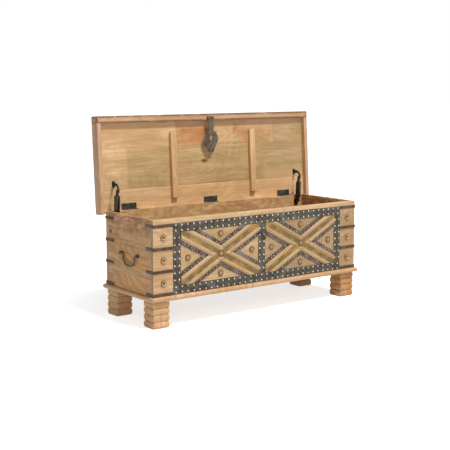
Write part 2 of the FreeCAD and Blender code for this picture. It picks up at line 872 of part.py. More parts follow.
def stay_ear(side):
    """The bracket under the lid, with the pin that carries the arm's upper end."""
    middle = ear_middle(side)
    span = about(middle, -stay_tongue_half, stay_tongue_half)
    half_plate = ear_plate_width / 2
    plate_low = lid_inner - ear_plate_thickness
    plate_ends = [stay_ear_y + side_y * (ear_plate_length / 2 - half_plate) for side_y in (-1, 1)]
    pieces = [
        block(*about(middle, -half_plate, half_plate), *plate_ends, plate_low, lid_inner),
        block(*span, stay_ear_y - stay_tongue_radius, stay_ear_y + stay_tongue_radius,
              stay_ear_z, lid_inner),
        rod_x(*span, stay_ear_y, stay_ear_z, stay_tongue_radius),
    ]
    for end_y in plate_ends:
        pieces.append(Part.makeCylinder(half_plate, ear_plate_thickness, Vector(middle, end_y, plate_low)))
    return joined(pieces + stay_pin(middle, -1, stay_ear_y, stay_ear_z))


# Fixed pieces
fixed = {}
bottom = block(-inner_half_width - groove_depth, inner_half_width + groove_depth,
               -inner_half_depth - groove_depth, inner_half_depth + groove_depth,
               wall_bottom + bottom_rise, wall_bottom + bottom_rise + bottom_thickness)
front_wall = block(-half_width, half_width, front_face, -inner_half_depth, wall_bottom, wall_top)
back_wall = block(-half_width, half_width, inner_half_depth, half_depth, wall_bottom, wall_top)
fixed["bottom_board"] = bottom
fixed["front_panel"] = front_wall.cut([bottom] + staple_holes())
body_screw_holes = hinge_screws(body_screw_y, body_leaf_top, -1, screw_clearance)
fixed["back_panel"] = back_wall.cut([bottom] + hinge_notches() + body_screw_holes)
for side_name, side in (("left", -1), ("right", 1)):
    wall_x = sorted((side * inner_half_width, side * half_width))
    wall = block(*wall_x, -inner_half_depth, inner_half_depth, wall_bottom, wall_top)
    fixed["side_panel_" + side_name] = wall.cut(bottom)

for rail_name, turn in (("front", 0), ("back", 180)):
    rail = base_rail(half_width, half_depth)
    rail.rotate(Vector(0, 0, 0), Z_AXIS, turn)
    fixed["base_rail_" + rail_name] = rail
for rail_name, turn in (("left", -90), ("right", 90)):
    rail = base_rail(half_depth, half_width)
    rail.rotate(Vector(0, 0, 0), Z_AXIS, turn)
    fixed["base_rail_" + rail_name] = rail

for side_name, side in (("left", -1), ("right", 1)):
    fixed["leg_front_" + side_name] = leg(side, -1)
    fixed["leg_back_" + side_name] = leg(side, 1)
    fixed["corner_straps_front_" + side_name] = corner_straps(side, -1, frame_inset, strap_side_front)
    fixed["corner_straps_back_" + side_name] = corner_straps(side, 1, strap_back_reach, strap_side_back)

stile_bottom = strap_bottom + band_width
stile_top = strap_top - band_width
fixed["band_top"] = band(-frame_half_width, frame_half_width, stile_top, strap_top)
fixed["band_bottom"] = band(-frame_half_width, frame_half_width, strap_bottom, stile_bottom)
fixed["band_left"] = band(-frame_half_width, band_width - frame_half_width, stile_bottom, stile_top)
fixed["band_right"] = band(frame_half_width - band_width, frame_half_width, stile_bottom, stile_top)
fixed["band_centre"] = band(-band_width / 2, band_width / 2, stile_bottom, stile_top).cut(staple_holes())
fixed["band_nails"] = band_nails()

for side_name, side in (("left", -1), ("right", 1)):
    lower_bar, upper_bar = cross_bars(side * field_centre_x)
    fixed["cross_" + side_name + "_rising"] = lower_bar
    fixed["cross_" + side_name + "_falling"] = upper_bar
    fixed["sawtooth_" + side_name] = sawtooth(side * field_centre_x)
fixed["cross_studs"] = cross_studs()
fixed["corner_studs"] = corner_studs()
fixed["staple"] = staple()

body_leaves = [hinge_leaf(x, 0, body_leaf_reach, wall_top, body_leaf_top) for x in hinge_places]
fixed["hinge_body_leaves"] = Part.makeCompound([leaf.cut(body_screw_holes) for leaf in body_leaves])
fixed["hinge_body_screws"] = Part.makeCompound(hinge_screws(body_screw_y, body_leaf_top, -1, 0))
fixed["hinge_pins"] = Part.makeCompound([
    rod_x(x - hinge_length / 2, x + hinge_length / 2, hinge_y, hinge_z, hinge_pin_radius)
    for x in hinge_places
])
for side_name, side in (("left", -1), ("right", 1)):
    fixed["handle_eyes_" + side_name] = handle_eyes(side)
    fixed["stay_foot_" + side_name] = stay_foot(side)

# Lid pieces, made closed
lid = {}
lid_screw_holes = hinge_screws(lid_screw_y, lid_leaf_bottom, 1, screw_clearance)
seam_front = panel_front + lid_front_plank
seam_back = seam_front + lid_middle_plank
plank_edges = [
    ("front", panel_front, seam_front),
    ("middle", seam_front, seam_back),
    ("back", seam_back, lid_back),
]
for plank_name, y0, y1 in plank_edges:
    plank = block(-panel_half_width, panel_half_width, y0, y1, lid_inner, lid_top)
    lid["lid_plank_" + plank_name] = plank.cut(lid_screw_holes)
lid["lid_rim_front"] = lid_rim_front()
lid["lid_rim_left"] = lid_rim_side(-1)
lid["lid_rim_right"] = lid_rim_side(1)
lid["lid_batten_left"] = lid_batten(batten_left_x)
lid["lid_batten_right"] = lid_batten(batten_right_x)
lid_leaves = [hinge_leaf(x, 1, lid_leaf_reach, lid_leaf_bottom, lid_inner) for x in hinge_places]
lid["hinge_lid_leaves"] = Part.makeCompound([leaf.cut(lid_screw_holes) for leaf in lid_leaves])
lid["hinge_lid_screws"] = Part.makeCompound(hinge_screws(lid_screw_y, lid_leaf_bottom, 1, 0))
lid["hasp_bracket"] = hasp_bracket()
lid["hasp_pin"] = hasp_pin()
lid["stay_ear_left"] = stay_ear(-1)
lid["stay_ear_right"] = stay_ear(1)
for shape in lid.values():
    shape.rotate(Vector(0, hinge_y, hinge_z), X_AXIS, -lid_open_angle)

# Pieces that swing by themselves, as they stand with the lid open
swinging = {"hasp_plate": hasp_plate()}
for side_name, side in (("left", -1), ("right", 1)):
    swinging["handle_bail_" + side_name] = handle_bail(side)
    swinging["stay_damper_" + side_name] = stay_damper(side)
    swinging["stay_arm_" + side_name] = stay_arm(side)

# The origin stands on the floor, under the middle of the open chest
nodes = {**fixed, **lid, **swinging}
foremost = min(front_face - base_overhang, iron_face - staple_reach)
round_y, round_z = opened(lid_front + lid_edge_round, lid_top - lid_edge_round)
rearmost = round_y + lid_edge_round
to_origin = Vector(0, -(foremost + rearmost) / 2, 0)

os.makedirs("parts", exist_ok=True)
for node_name, shape in nodes.items():
    shape.translate(to_origin)
    shape.exportStep("parts/" + node_name + ".step")
    print(node_name, len(shape.Solids), "solids", round(shape.Volume / 1000, 2), "cm3", shape.isValid())
print(len(nodes), "nodes")
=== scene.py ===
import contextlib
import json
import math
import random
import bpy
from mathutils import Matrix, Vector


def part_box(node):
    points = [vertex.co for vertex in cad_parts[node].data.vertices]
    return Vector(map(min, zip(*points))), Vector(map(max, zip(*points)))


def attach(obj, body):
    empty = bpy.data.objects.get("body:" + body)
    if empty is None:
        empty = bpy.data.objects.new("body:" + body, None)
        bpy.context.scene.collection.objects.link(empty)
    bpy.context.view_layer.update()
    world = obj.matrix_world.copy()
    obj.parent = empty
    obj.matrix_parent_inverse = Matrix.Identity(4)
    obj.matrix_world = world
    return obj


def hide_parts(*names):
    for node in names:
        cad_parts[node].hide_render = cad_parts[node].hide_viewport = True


bl_info = {
    "name": "Iron-bound chest",
    "version": (1, 0, 0),
    "blender": (4, 5, 0),
    "location": "View3D > Sidebar > Chest",
    "description": "Dresses the packed chest with boards, carving, ironwork and a stage",
    "category": "Object",
}

import bmesh
import bpy
from mathutils import Matrix, Vector

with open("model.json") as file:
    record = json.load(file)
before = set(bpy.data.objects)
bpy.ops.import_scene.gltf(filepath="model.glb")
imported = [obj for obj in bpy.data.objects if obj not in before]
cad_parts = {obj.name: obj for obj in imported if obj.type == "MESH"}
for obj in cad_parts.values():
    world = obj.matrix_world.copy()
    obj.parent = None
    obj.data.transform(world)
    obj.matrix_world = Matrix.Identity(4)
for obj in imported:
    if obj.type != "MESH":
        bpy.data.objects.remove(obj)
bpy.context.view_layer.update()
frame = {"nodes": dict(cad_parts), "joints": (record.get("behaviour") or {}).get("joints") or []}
NODES = frame["nodes"]
LID_HINGE = next(joint for joint in frame["joints"] if joint["name"] == "lid_hinge")
SIDES = (("left", -1), ("right", 1))
ENDS = (("front", -1), ("back", 1))
X, Y, Z = AXES = (0, 1, 2)
MM = 0.001

# Distances under which points merge or count as the same, and the turn in radians of a sharp edge
WELD = 1e-6
PLAY = 1e-5
SHARP = 1.2

# Largest share of a board's thinnest side that wear reaches, and the reaches that a worn face is wide
WEAR_SHARE = 0.3
WEAR_ROOM = 2.2

# Turns a shape that was made standing up so that it faces the front
TO_FRONT = Matrix.Rotation(math.pi / 2, 4, "X")


# Colours and properties
def paint(code):
    """A colour of six hex digits as linear light."""
    parts = [int(code[i:i + 2], 16) / 255 for i in (0, 2, 4)]
    return tuple(p / 12.92 if p <= 0.04045 else ((p + 0.055) / 1.055) ** 2.4 for p in parts)


def colour(name, code, description):
    return bpy.props.FloatVectorProperty(name=name, description=description, subtype="COLOR",
                                         size=3, min=0.0, max=1.0, default=paint(code))


def length(name, default, description):
    return bpy.props.FloatProperty(name=name, description=description, subtype="DISTANCE",
                                   unit="LENGTH", precision=4, min=0.0, default=default)


def amount(name, default, description):
    return bpy.props.FloatProperty(name=name, description=description, default=default)


def turn(name, degrees, description):
    return bpy.props.FloatProperty(name=name, description=description, subtype="ANGLE",
                                   unit="ROTATION", default=math.radians(degrees))


def place(name, default, description):
    return bpy.props.FloatVectorProperty(name=name, description=description, subtype="XYZ",
                                         unit="LENGTH", size=3, default=default)


class ChestWoods(bpy.types.PropertyGroup):
    """Colours of the boards and carvings"""
    pale: colour("Pale", "E4BE92", "Lightest wood of the boards")
    honey: colour("Honey", "D2A877", "Usual wood of the boards")
    olive: colour("Olive", "B39762", "Greenish brown zones of the lid")
    ember: colour("Ember", "C4824A", "Orange brown zones")
    rose: colour("Rose", "CE985E", "Golden brown of the side walls")
    rim: colour("Rim", "C6A07A", "Pinkish tan of the lid's rims")
    russet: colour("Russet", "9C6B45", "Reddish brown patches of the side and back walls")
    streak: colour("Streak", "8A6236", "Dark lines along the grain")
    knot: colour("Knot", "4A2E1A", "Heart of a knot")
    bead: colour("Bead", "BD9A66", "Raised edges of the cross bars")
    groove: colour("Groove", "634A20", "Stain in the groove of the cross bars")
    groove_worn: colour("Worn groove", "98763C", "Stain where the groove is worn")
    stud: colour("Stud", "C99E66", "Turned studs")
    # Stud ring colour: the dark turned ring and centre, and painted shade on the flank at each stud's
    # foot.
    stud_groove: colour("Stud groove", "5E3F1C", "Dark ring turned into a stud")


class ChestIrons(bpy.types.PropertyGroup):
    """Colours of the ironwork"""
    band: colour("Band", "564C3D", "Beaten bands on the front")
    band_dark: colour("Band shade", "2A241C", "Dark mottling of the bands")
    strap: colour("Strap", "5A4230", "Straps round the corners")
    strap_dark: colour("Strap shade", "35271B", "Dark mottling of the straps")
    saw: colour("Toothed strip", "66534B", "Toothed strips along the cross bars")
    nail: colour("Nail", "C4BBAD", "Polished nail heads")
    forged: colour("Forged", "6A5C4A", "Hasp and staple")
    forged_dark: colour("Forged shade", "42382C", "Dark mottling of the forged pieces")
    handle: colour("Handle", "6A5038", "Drop handles")
    plate: colour("Plate", "4C4943", "Hinge plates")
    stay: colour("Stay", "1C1A18", "Lid stays")


class ChestSizes(bpy.types.PropertyGroup):
    """Small sizes of the dressed pieces"""
    board_ease: length("Board ease", 0.8 * MM, "Rounding of a board's edges")
    seam_ease: length("Seam ease", 0.3 * MM, "Rounding of edges that lie against another board")
    rubbed: length("Rubbed width", 5.0 * MM, "How far wear reaches in from an edge")
    rim_round: length("Rim rounding", 3.5 * MM, "Rounding of the lid's outer edges")
    rim_rubbed: length("Rim wear", 10.0 * MM, "How far wear reaches in from a rim's edge")
    batten_round: length("Batten rounding", 3.0 * MM, "Rounding of the battens")
    bar_ease: length("Bar ease", 0.5 * MM, "Rounding of the cross bars' edges")
    leg_cap: length("Leg cap", 26.0 * MM, "Height of the top roll of a leg")
    leg_notch: length("Leg notch", 3.5 * MM, "Depth of the hollow between two rolls")
    leg_cut: length("Leg cut", 1.2 * MM, "Depth of the saw cut at the bottom of a hollow")
    leg_round: length("Leg rounding", 1.6 * MM, "Rounding of a leg's upright edges")
    leg_rough: length("Leg roughness", 0.12 * MM, "Unevenness of the carving")
    strap_rib: length("Strap rib", 0.7 * MM, "Height of the rib along a corner strap")
    strap_ease: length("Strap ease", 0.4 * MM, "Rounding of the straps' edges")
    band_ease: length("Band ease", 0.5 * MM, "Rounding of the bands' edges")
    band_dent: length("Band dents", 0.7 * MM, "Depth of the hammer marks in the bands")
    dent_width: length("Dent width", 12.0 * MM, "Width of the hammer marks in the bands")
    saw_ease: length("Toothed strip ease", 0.35 * MM, "Rounding of the toothed strips' edges")
    hasp_ease: length("Hasp ease", 0.6 * MM, "Rounding of the hasp's edges")
    tack_radius: length("Tack radius", 1.8 * MM, "Small tacks in the toothed strips")
    tack_pitch: length("Tack pitch", 17.0 * MM, "Distance between two tacks")
    screw_radius: length("Screw radius", 3.0 * MM, "Hinge screws")
    screw_slot: length("Screw slot", 0.8 * MM, "Width of a screw's slot")


class ChestStage(bpy.types.PropertyGroup):
    """Camera, lamps and floor"""
    camera_place: place("Camera place", (-2.5551, -3.3269, 0.9514), "Where the camera stands")
    camera_turn: turn("Camera turn", -37.01, "Turn of the camera about the vertical")
    camera_pitch: turn("Camera pitch", 6.85, "How far the camera looks down")
    camera_lens: amount("Lens", 79.53, "Focal length for a 36 mm sensor")
    camera_rise: amount("Lens shift", -0.0556, "Upward shift of the lens")
    key_place: place("Key place", (0.8, -3.3, 7.2), "Where the high lamp hangs")
    key_aim: place("Key aim", (0.0, 0.1, 0.5), "What the high lamp points at")
    key_size: length("Key size", 1.2, "Width of the high lamp")
    key_power: amount("Key lamp", 625.0, "Power of the high lamp in front")
    fill_place: place("Fill place", (-2.3, -3.0, 1.4), "Where the broad lamp stands")
    fill_aim: place("Fill aim", (-0.2, 0.0, 0.4), "What the broad lamp points at")
    fill_size: length("Fill size", 2.0, "Width of the broad lamp")
    fill_power: amount("Fill lamp", 28.0, "Power of the broad lamp on the left")
    sky: amount("Sky", 0.165, "Strength of the surrounding white light")
    floor_lift: amount("Floor lift", 0.68, "Light added to the floor near the chest for the camera")
    floor_shade: length("Floor shade", 0.5, "How far the full shadow reaches from the middle")
    floor_white: length("Floor white", 1.05, "Where the floor is wholly white again")
    white: colour("White", "F0F3F6", "Floor")


# Selecting and editing
def take(*pieces):
    """Select these objects alone, with the first one active."""
    if bpy.context.mode != "OBJECT":
        bpy.ops.object.mode_set(mode="OBJECT")
    bpy.ops.object.select_all(action="DESELECT")
    for piece in pieces:
        piece.select_set(True)
    if pieces:
        bpy.context.view_layer.objects.active = pieces[0]


@contextlib.contextmanager
def editing(piece):
    """Edit mode with everything selected."""
    take(piece)
    bpy.ops.object.mode_set(mode="EDIT")
    bpy.ops.mesh.select_all(action="SELECT")
    yield
    bpy.ops.object.mode_set(mode="OBJECT")


def choose(piece, kind, test):
    """Select the faces, edges or points of the edited mesh that pass the test."""
    bpy.ops.mesh.select_mode(type=kind)
    bpy.ops.mesh.select_all(action="DESELECT")
    shape = bmesh.from_edit_mesh(piece.data)
    for part in {"FACE": shape.faces, "EDGE": shape.edges, "VERT": shape.verts}[kind]:
        if test(part):
            part.select_set(True)
    shape.select_flush_mode()
    bmesh.update_edit_mesh(piece.data)


def round_off(piece, test, width, segments=2):
    """Round the edges of the edited mesh that pass the test."""
    choose(piece, "EDGE", test)
    bpy.ops.mesh.bevel(offset=width, offset_type="OFFSET", segments=segments, affect="EDGES")


def push(piece, test, axis, distance):
    """Move the points of the edited mesh that pass the test along an axis."""
    choose(piece, "VERT", test)
    move = [0.0, 0.0, 0.0]
    move[axis] = distance
    bpy.ops.transform.translate(value=move)


def cross_cuts(piece, axis, cuts):
    """Cut the edited mesh across an axis, with the cuts spread evenly."""
    choose(piece, "EDGE", lambda edge: runs_along(edge, axis))
    bpy.ops.mesh.subdivide(number_cuts=cuts)


def runs_along(edge, axis):
    way = edge.verts[1].co - edge.verts[0].co
    return abs(way[axis]) > 0.999 * way.length


def sharp(edge):
    return edge.calc_face_angle(0.0) > SHARP


def middle(edge):
    return (edge.verts[0].co + edge.verts[1].co) / 2


def near(a, b):
    return abs(a - b) < PLAY


def far_side(way, low, high):
    """The higher of two values for a positive way, the lower one for a negative way."""
    return high if way > 0 else low


def corners(points):
    """Lowest and highest corner round some points."""
    return [Vector(pick(point[axis] for point in points) for axis in AXES) for pick in (min, max)]


def settle(piece, body, slot, material, *nodes):
    """Give a piece its finish, its body and the CAD nodes it stands for."""
    piece.data.materials.clear()
    piece.data.materials.append(material)
    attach(piece, body)
    if nodes:
        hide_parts(*nodes)
    return piece


def coat(material, *nodes):
    """Give CAD nodes that stay as they are a finish."""
    for node in nodes:
        for slot in NODES[node].material_slots:
            slot.material = material


# Shapes
def fix_place():
    """Write the place, turn and size of the selected objects into their meshes."""
    bpy.ops.object.transform_apply(location=True, rotation=True, scale=True)


def started(name):
    """The primitive that was just added, under its own name."""
    piece = bpy.context.object
    fix_place()
    piece.name = piece.data.name = name
    return piece


def start_block(name, low, high):
    """A block between two corners."""
    take()
    bpy.ops.mesh.primitive_cube_add(size=1.0, location=(low + high) / 2)
    bpy.context.object.scale = high - low
    return started(name)


def raise_rings(rings, x=0.0, y=0.0):
    """Extrude the edited base upwards through rings of these half widths and heights."""
    for (old, low), (new, high) in zip(rings, rings[1:]):
        bpy.ops.mesh.extrude_region_move(TRANSFORM_OT_translate={"value": (0, 0, high - low)})
        bpy.ops.transform.resize(value=(new / old, new / old, 1.0), center_override=(x, y, high))
    bpy.ops.mesh.select_all(action="SELECT")
    bpy.ops.mesh.normals_make_consistent(inside=False)


def turned(name, outline, sides):
    """A shape turned about Z: outline gives each ring's radius and height, from the foot up."""
    take()
    radius, height = outline[0]
    bpy.ops.mesh.primitive_circle_add(vertices=sides, radius=radius, fill_type="NGON",
                                      location=(0, 0, height))
    piece = started(name)
    with editing(piece):
        raise_rings(outline)
    return piece


def join(pieces, name):
    take(*pieces)
    if len(pieces) > 1:
        bpy.ops.object.join()
    pieces[0].name = pieces[0].data.name = name
    return pieces[0]


def smooth(piece, degrees=35.0):
    take(piece)
    bpy.ops.object.shade_smooth_by_angle(angle=math.radians(degrees))
    return piece


def modify(piece, kind, **settings):
    """Add one modifier with these settings and apply it."""
    take(piece)
    bpy.ops.object.modifier_add(type=kind)
    modifier = piece.modifiers[-1]
    for key, value in settings.items():
        setattr(modifier, key, value)
    bpy.ops.object.modifier_apply(modifier=modifier.name)
    return piece


def cut_block(piece, low, high):
    """Cut a block between two corners out of a piece."""
    cutter = start_block("cutter", low, high)
    modify(piece, "BOOLEAN", operation="DIFFERENCE", solver="EXACT", object=cutter)
    bpy.data.objects.remove(cutter)


def add_object(name, data):
    made = bpy.data.objects.new(name, data)
    bpy.context.scene.collection.objects.link(made)
    return made


def set_copies(blank, name, places, facing, spread=0.0):
    """Copies of a blank, each with its own mesh, spin and slight change of size, as one piece."""
    draw = random.Random(name)
    copies = []
    for spot in places:
        copy = add_object(name, blank.data.copy())
        spin = Matrix.Rotation(draw.uniform(0, math.tau), 4, "Z")
        size = Matrix.Scale(1 + draw.uniform(-spread, spread), 4)
        copy.matrix_world = Matrix.Translation(spot) @ facing @ spin @ size
        copies.append(copy)
    take(*copies)
    fix_place()
    bpy.data.objects.remove(blank)
    return join(copies, name)


def solid_boxes(node):
    """Lowest and highest corner of each separate solid in a CAD node."""
    shape = bmesh.new()
    shape.from_mesh(NODES[node].data)
    bmesh.ops.remove_doubles(shape, verts=shape.verts, dist=WELD)
    shape.verts.index_update()
    boxes = []
    seen = set()
    for first in shape.verts:
        if first.index in seen:
            continue
        seen.add(first.index)
        group = [first]
        for point in group:
            for edge in point.link_edges:
                other = edge.other_vert(point)
                if other.index not in seen:
                    seen.add(other.index)
                    group.append(other)
        boxes.append(corners([point.co for point in group]))
    shape.free()
    return boxes


def eased_copy(node, name, width, segments=2):
    """A welded copy of a CAD node with its sharp edges rounded."""
    piece = add_object(name, NODES[node].data.copy())
    piece.data.name = name
    take(piece)
    bpy.ops.mesh.customdata_custom_splitnormals_clear()
    with editing(piece):
        bpy.ops.mesh.remove_doubles(threshold=WELD)
        bpy.ops.mesh.dissolve_limited(angle_limit=math.radians(0.2))
    return modify(piece, "BEVEL", width=width, segments=segments, limit_method="ANGLE",
                  angle_limit=math.radians(50))


# Grain and wear, kept on the points of each wooden piece
def put_vectors(piece, name, values):
    attribute = piece.data.attributes.new(name, "FLOAT_VECTOR", "POINT")
    attribute.data.foreach_set("vector", [number for value in values for number in value])


def mark_wood(piece, along, look, wear, to_grain=None):
    """Store each point's place in its board (along, across, through) and its tone, warmth and wear.

    look and wear give the tone and warmth, and the wear, at a point.
    """
    points = [point.co.copy() for point in piece.data.vertices]
    if to_grain is None:
        low, high = corners(points)
        order = sorted(AXES, key=lambda axis: (axis != along, low[axis] - high[axis]))

        def to_grain(point):
            return Vector(point[axis] - (low[axis] + high[axis]) / 2 for axis in order)

    draw = random.Random(piece.name)
    shift = Vector((draw.uniform(1, 9), draw.uniform(-0.05, 0.05), draw.uniform(0.0, 0.05)))
    put_vectors(piece, "grain", [to_grain(point) + shift for point in points])
    put_vectors(piece, "board", [(*look(point), wear(point)) for point in points])


def board(name, low, high, along, look, rounded=None, ease=None, reach=None, end_tone=0.0,
          worn=None, cuts=0, room=()):
    """A planed board with eased edges.

    look is a pair of tone and warmth, or gives that pair at a point. rounded maps a rounding to a
    test for the edges that get it, worn gives the wear of a point that is or isn't near an edge,
    cuts divides the board along its length, and room gives the corners of blocks to be cut out.
    """
    sizes = bpy.context.scene.chest_sizes
    ease = ease or sizes.board_ease
    reach = min(reach or sizes.rubbed, WEAR_SHARE * min(high - low))
    piece = start_block(name, low, high)
    with editing(piece):
        for width, test in (rounded or {}).items():
            round_off(piece, test, width, segments=5)
        round_off(piece, sharp, ease)
        choose(piece, "FACE", lambda face: max(map(abs, face.normal)) > 0.9999
               and min(edge.calc_length() for edge in face.edges) > WEAR_ROOM * reach)
        bpy.ops.mesh.inset(thickness=reach, depth=0.0)
        if cuts:
            cross_cuts(piece, along, cuts)
    for block in room:
        cut_block(piece, *block)

    def margin(point, axis):
        return min(point[axis] - low[axis], high[axis] - point[axis])

    def shade(point):
        tone, warmth = look(point) if callable(look) else look
        return tone + (end_tone if margin(point, along) < 0.2 * ease else 0.0), warmth

    def wear(point):
        at_edge = sorted(margin(point, axis) for axis in AXES)[1] < 0.9 * reach
        return float(worn(point, at_edge) if worn else at_edge)

    mark_wood(piece, along, shade, wear)
    return smooth(piece)


def stacked_boards(name, low, high, along, across, boards, room=(), **settings):
    """Boards edge to edge across a face: each is its share of the face, its tone and its warmth."""
    start = low[across]
    whole = high[across] - low[across]
    pieces = []
    for number, (share, *look) in enumerate(boards):
        first, last = low.copy(), high.copy()
        first[across] = start
        start += share * whole
        last[across] = min(start, high[across])
        cut = room if number == len(boards) - 1 else ()
        pieces.append(board(f"{name}_{number}", first, last, along, look, room=cut, **settings))
    return join(pieces, name)


# Node trees
class Signal:
    """A value in a node tree, with sums and products that add Math nodes."""

    def __init__(self, bench, socket):
        self.bench = bench
        self.socket = socket

    def __add__(self, other):
        return self.bench.math("ADD", self, other)

    def __sub__(self, other):
        return self.bench.math("SUBTRACT", self, other)

    def __rsub__(self, other):
        return self.bench.math("SUBTRACT", other, self)

    def __mul__(self, other):
        return self.bench.math("MULTIPLY", self, other)

    def __truediv__(self, other):
        return self.bench.math("DIVIDE", self, other)

    def __abs__(self):
        return self.bench.math("ABSOLUTE", self)


class Bench:
    """Short calls for adding and linking nodes in one tree."""

    def __init__(self, tree):
        self.tree = tree

    def node(self, kind, inputs=None, **settings):
        made = self.tree.nodes.new(kind)
        for key, value in settings.items():
            setattr(made, key, value)
        for key, value in (inputs or {}).items():
            if isinstance(value, Signal):
                self.tree.links.new(value.socket, made.inputs[key])
            else:
                made.inputs[key].default_value = value
        return made

    def outputs(self, kind, inputs=None, **settings):
        """All outputs of a new node by their names."""
        made = self.node(kind, inputs, **settings)
        return {socket.name: Signal(self, socket) for socket in made.outputs}

    def value(self, kind, inputs=None, output=0, **settings):
        """One output of a new node."""
        return Signal(self, self.node(kind, inputs, **settings).outputs[output])

    def math(self, operation, first, second=0.0, clamp=False):
        return self.value("ShaderNodeMath", {0: first, 1: second}, operation=operation, use_clamp=clamp)

    def vector(self, operation, inputs, output=0):
        return self.value("ShaderNodeVectorMath", inputs, output, operation=operation)

    def noise(self, vector, scale, detail=2.0, roughness=0.5, shift=(0.0, 0.0, 0.0)):
        """Noise with one scale for each axis, or one for all."""
        scales = scale if isinstance(scale, tuple) else (scale, scale, scale)
        spot = self.vector("MULTIPLY_ADD", {0: vector, 1: scales, 2: shift})
        return self.value("ShaderNodeTexNoise", {"Vector": spot, "Scale": 1.0, "Detail": detail,
                                                 "Roughness": roughness})

    def span(self, value, low, high, to_low=0.0, to_high=1.0):
        return self.value("ShaderNodeMapRange", {"Value": value, "From Min": low, "From Max": high,
                                                 "To Min": to_low, "To Max": to_high},
                          interpolation_type="SMOOTHSTEP")

    def mix(self, factor, first, second):
        return self.value("ShaderNodeMix", {0: factor, 6: first, 7: second}, 2, data_type="RGBA")

    def attribute(self, name):
        return self.value("ShaderNodeAttribute", None, "Vector", attribute_name=name,
                          attribute_type="GEOMETRY")

    def split(self, vector):
        return self.outputs("ShaderNodeSeparateXYZ", {0: vector}).values()

    def here(self):
        return self.value("ShaderNodeTexCoord", None, "Object")

    def seen(self):
        """One for what the camera, a reflection or a see-through surface shows, nought for light."""
        path = self.outputs("ShaderNodeLightPath")
        shown = self.math("MAXIMUM", path["Is Glossy Ray"], path["Is Transmission Ray"])
        return self.math("MAXIMUM", path["Is Camera Ray"], shown)


def fresh_bench(owner):
    """A bench on the emptied node tree of a material or world."""
    owner.use_nodes = True
    owner.node_tree.nodes.clear()
    return Bench(owner.node_tree)


def new_group(label, inputs, outputs):
    """A shader group with these sockets by kind: its bench and what comes in."""
    bench = Bench(bpy.data.node_groups.new(label, "ShaderNodeTree"))
    for way, sockets in (("INPUT", inputs), ("OUTPUT", outputs)):
        for kind, names in sockets.items():
            for name in names:
                bench.tree.interface.new_socket(name=name, in_out=way, socket_type=kind)
    return bench, bench.outputs("NodeGroupInput")


def group_values(bench, builder, inputs):
    """The outputs of one use of a shared group, built the first time it is asked for."""
    label = builder.__doc__.split(":")[0]
    group = bpy.data.node_groups.get(label) or builder(label)
    return bench.outputs("ShaderNodeGroup", inputs, node_tree=group)


def seasoned_board(label):
    """Seasoned board: colour, roughness and height of planed wood from its place in the board."""
    bench, given = new_group(
        label,
        {"NodeSocketVector": ("Grain",),
         "NodeSocketFloat": ("Tone", "Warmth", "Wear", "Ring spacing", "Ring strength",
                             "Streak strength", "Olive share", "Curl", "Wear strength"),
         "NodeSocketColor": ("Pale", "Honey", "Olive", "Ember", "Streak", "Rubbed")},
        {"NodeSocketColor": ("Colour",), "NodeSocketFloat": ("Roughness", "Height")})

    def noise(*settings):
        return bench.noise(given["Grain"], *settings)

    # Scales are along, across and through the grain, then come detail, roughness and shift
    # Growth rings of a log whose heart wanders below the face of the board
    _, across, through = bench.split(given["Grain"])
    across += (noise((1.6, 4, 4)) - 0.5) * 0.12
    through += (noise((2.3, 1, 1), 1.0, 0.5, (4, 0, 2)) - 0.3) * 0.2
    radius = bench.math("SQRT", across * across + through * through)
    drift = noise((2.5, 26, 26)) * 0.012
    phase = bench.math("FRACT", (radius + drift) / given["Ring spacing"])
    ring = bench.span(phase, 0.1, 0.85) * bench.span(phase, 1.0, 0.88)

    # Zones, streaks, short fibres, pores and curl
    zone = bench.span(noise((3.4, 13, 13), 3.0, 0.6), 0.36, 0.64)
    olive_zone = bench.span(noise((4, 14, 14), 3.0, 0.6, (5, 3, 1)), 0.4, 0.62)
    ember_zone = bench.span(noise((9, 26, 26), 3.0, 0.6, (2, 9, 4)), 0.36, 0.62)
    streak = bench.span(noise((3, 60, 60), 4.0, 0.65, (7, 1, 6)), 0.45, 0.7)
    light = noise((6, 110, 110), 3.0, 0.6, (3, 8, 2))
    dash = bench.span(noise((26, 230, 230), 2.0, 0.6, (9, 2, 5)), 0.54, 0.72)
    fibre = noise((10, 430, 430))
    pores = bench.span(noise((45, 700, 700), 1.0), 0.64, 0.74)
    curl = noise((60, 22, 22), 3.0) - 0.5
    curl_zone = bench.span(noise((4.4, 12, 12), 1.0, 0.5, (1, 4, 7)), 0.45, 0.65)

    cool = bench.math("MAXIMUM", given["Warmth"] * -1.0, 0.0)
    warm = bench.math("MAXIMUM", given["Warmth"], 0.0)
    olive = bench.math("ADD", olive_zone * given["Olive share"], cool, clamp=True)
    ember = bench.math("MULTIPLY", warm, ember_zone + 0.25, clamp=True)
    wood = bench.mix(zone, given["Pale"], given["Honey"])
    for share, tint in ((olive, "Olive"), (ember, "Ember"), (ring * given["Ring strength"], "Streak"),
                        (streak * given["Streak strength"], "Streak"),
                        ((dash + pores) * 0.24, "Streak")):
        wood = bench.mix(share, wood, given[tint])
    value = given["Tone"] + 1.0 + (fibre - 0.5) * 0.2 + (light - 0.5) * 0.28
    value += curl * curl_zone * given["Curl"]
    wood = bench.value("ShaderNodeHueSaturation", {"Color": wood, "Value": value})
    rub = given["Wear"] * bench.span(noise((30, 60, 60), 3.0), 0.2, 0.55)
    rubbed = bench.math("MULTIPLY", rub, given["Wear strength"], clamp=True)
    bench.node("NodeGroupOutput", {"Colour": bench.mix(rubbed, wood, given["Rubbed"]),
                                   "Roughness": fibre * 0.16 + 0.5 - rub * 0.12,
                                   "Height": fibre * 0.5 - pores * 0.8 - ring * 0.3})
    return bench.tree


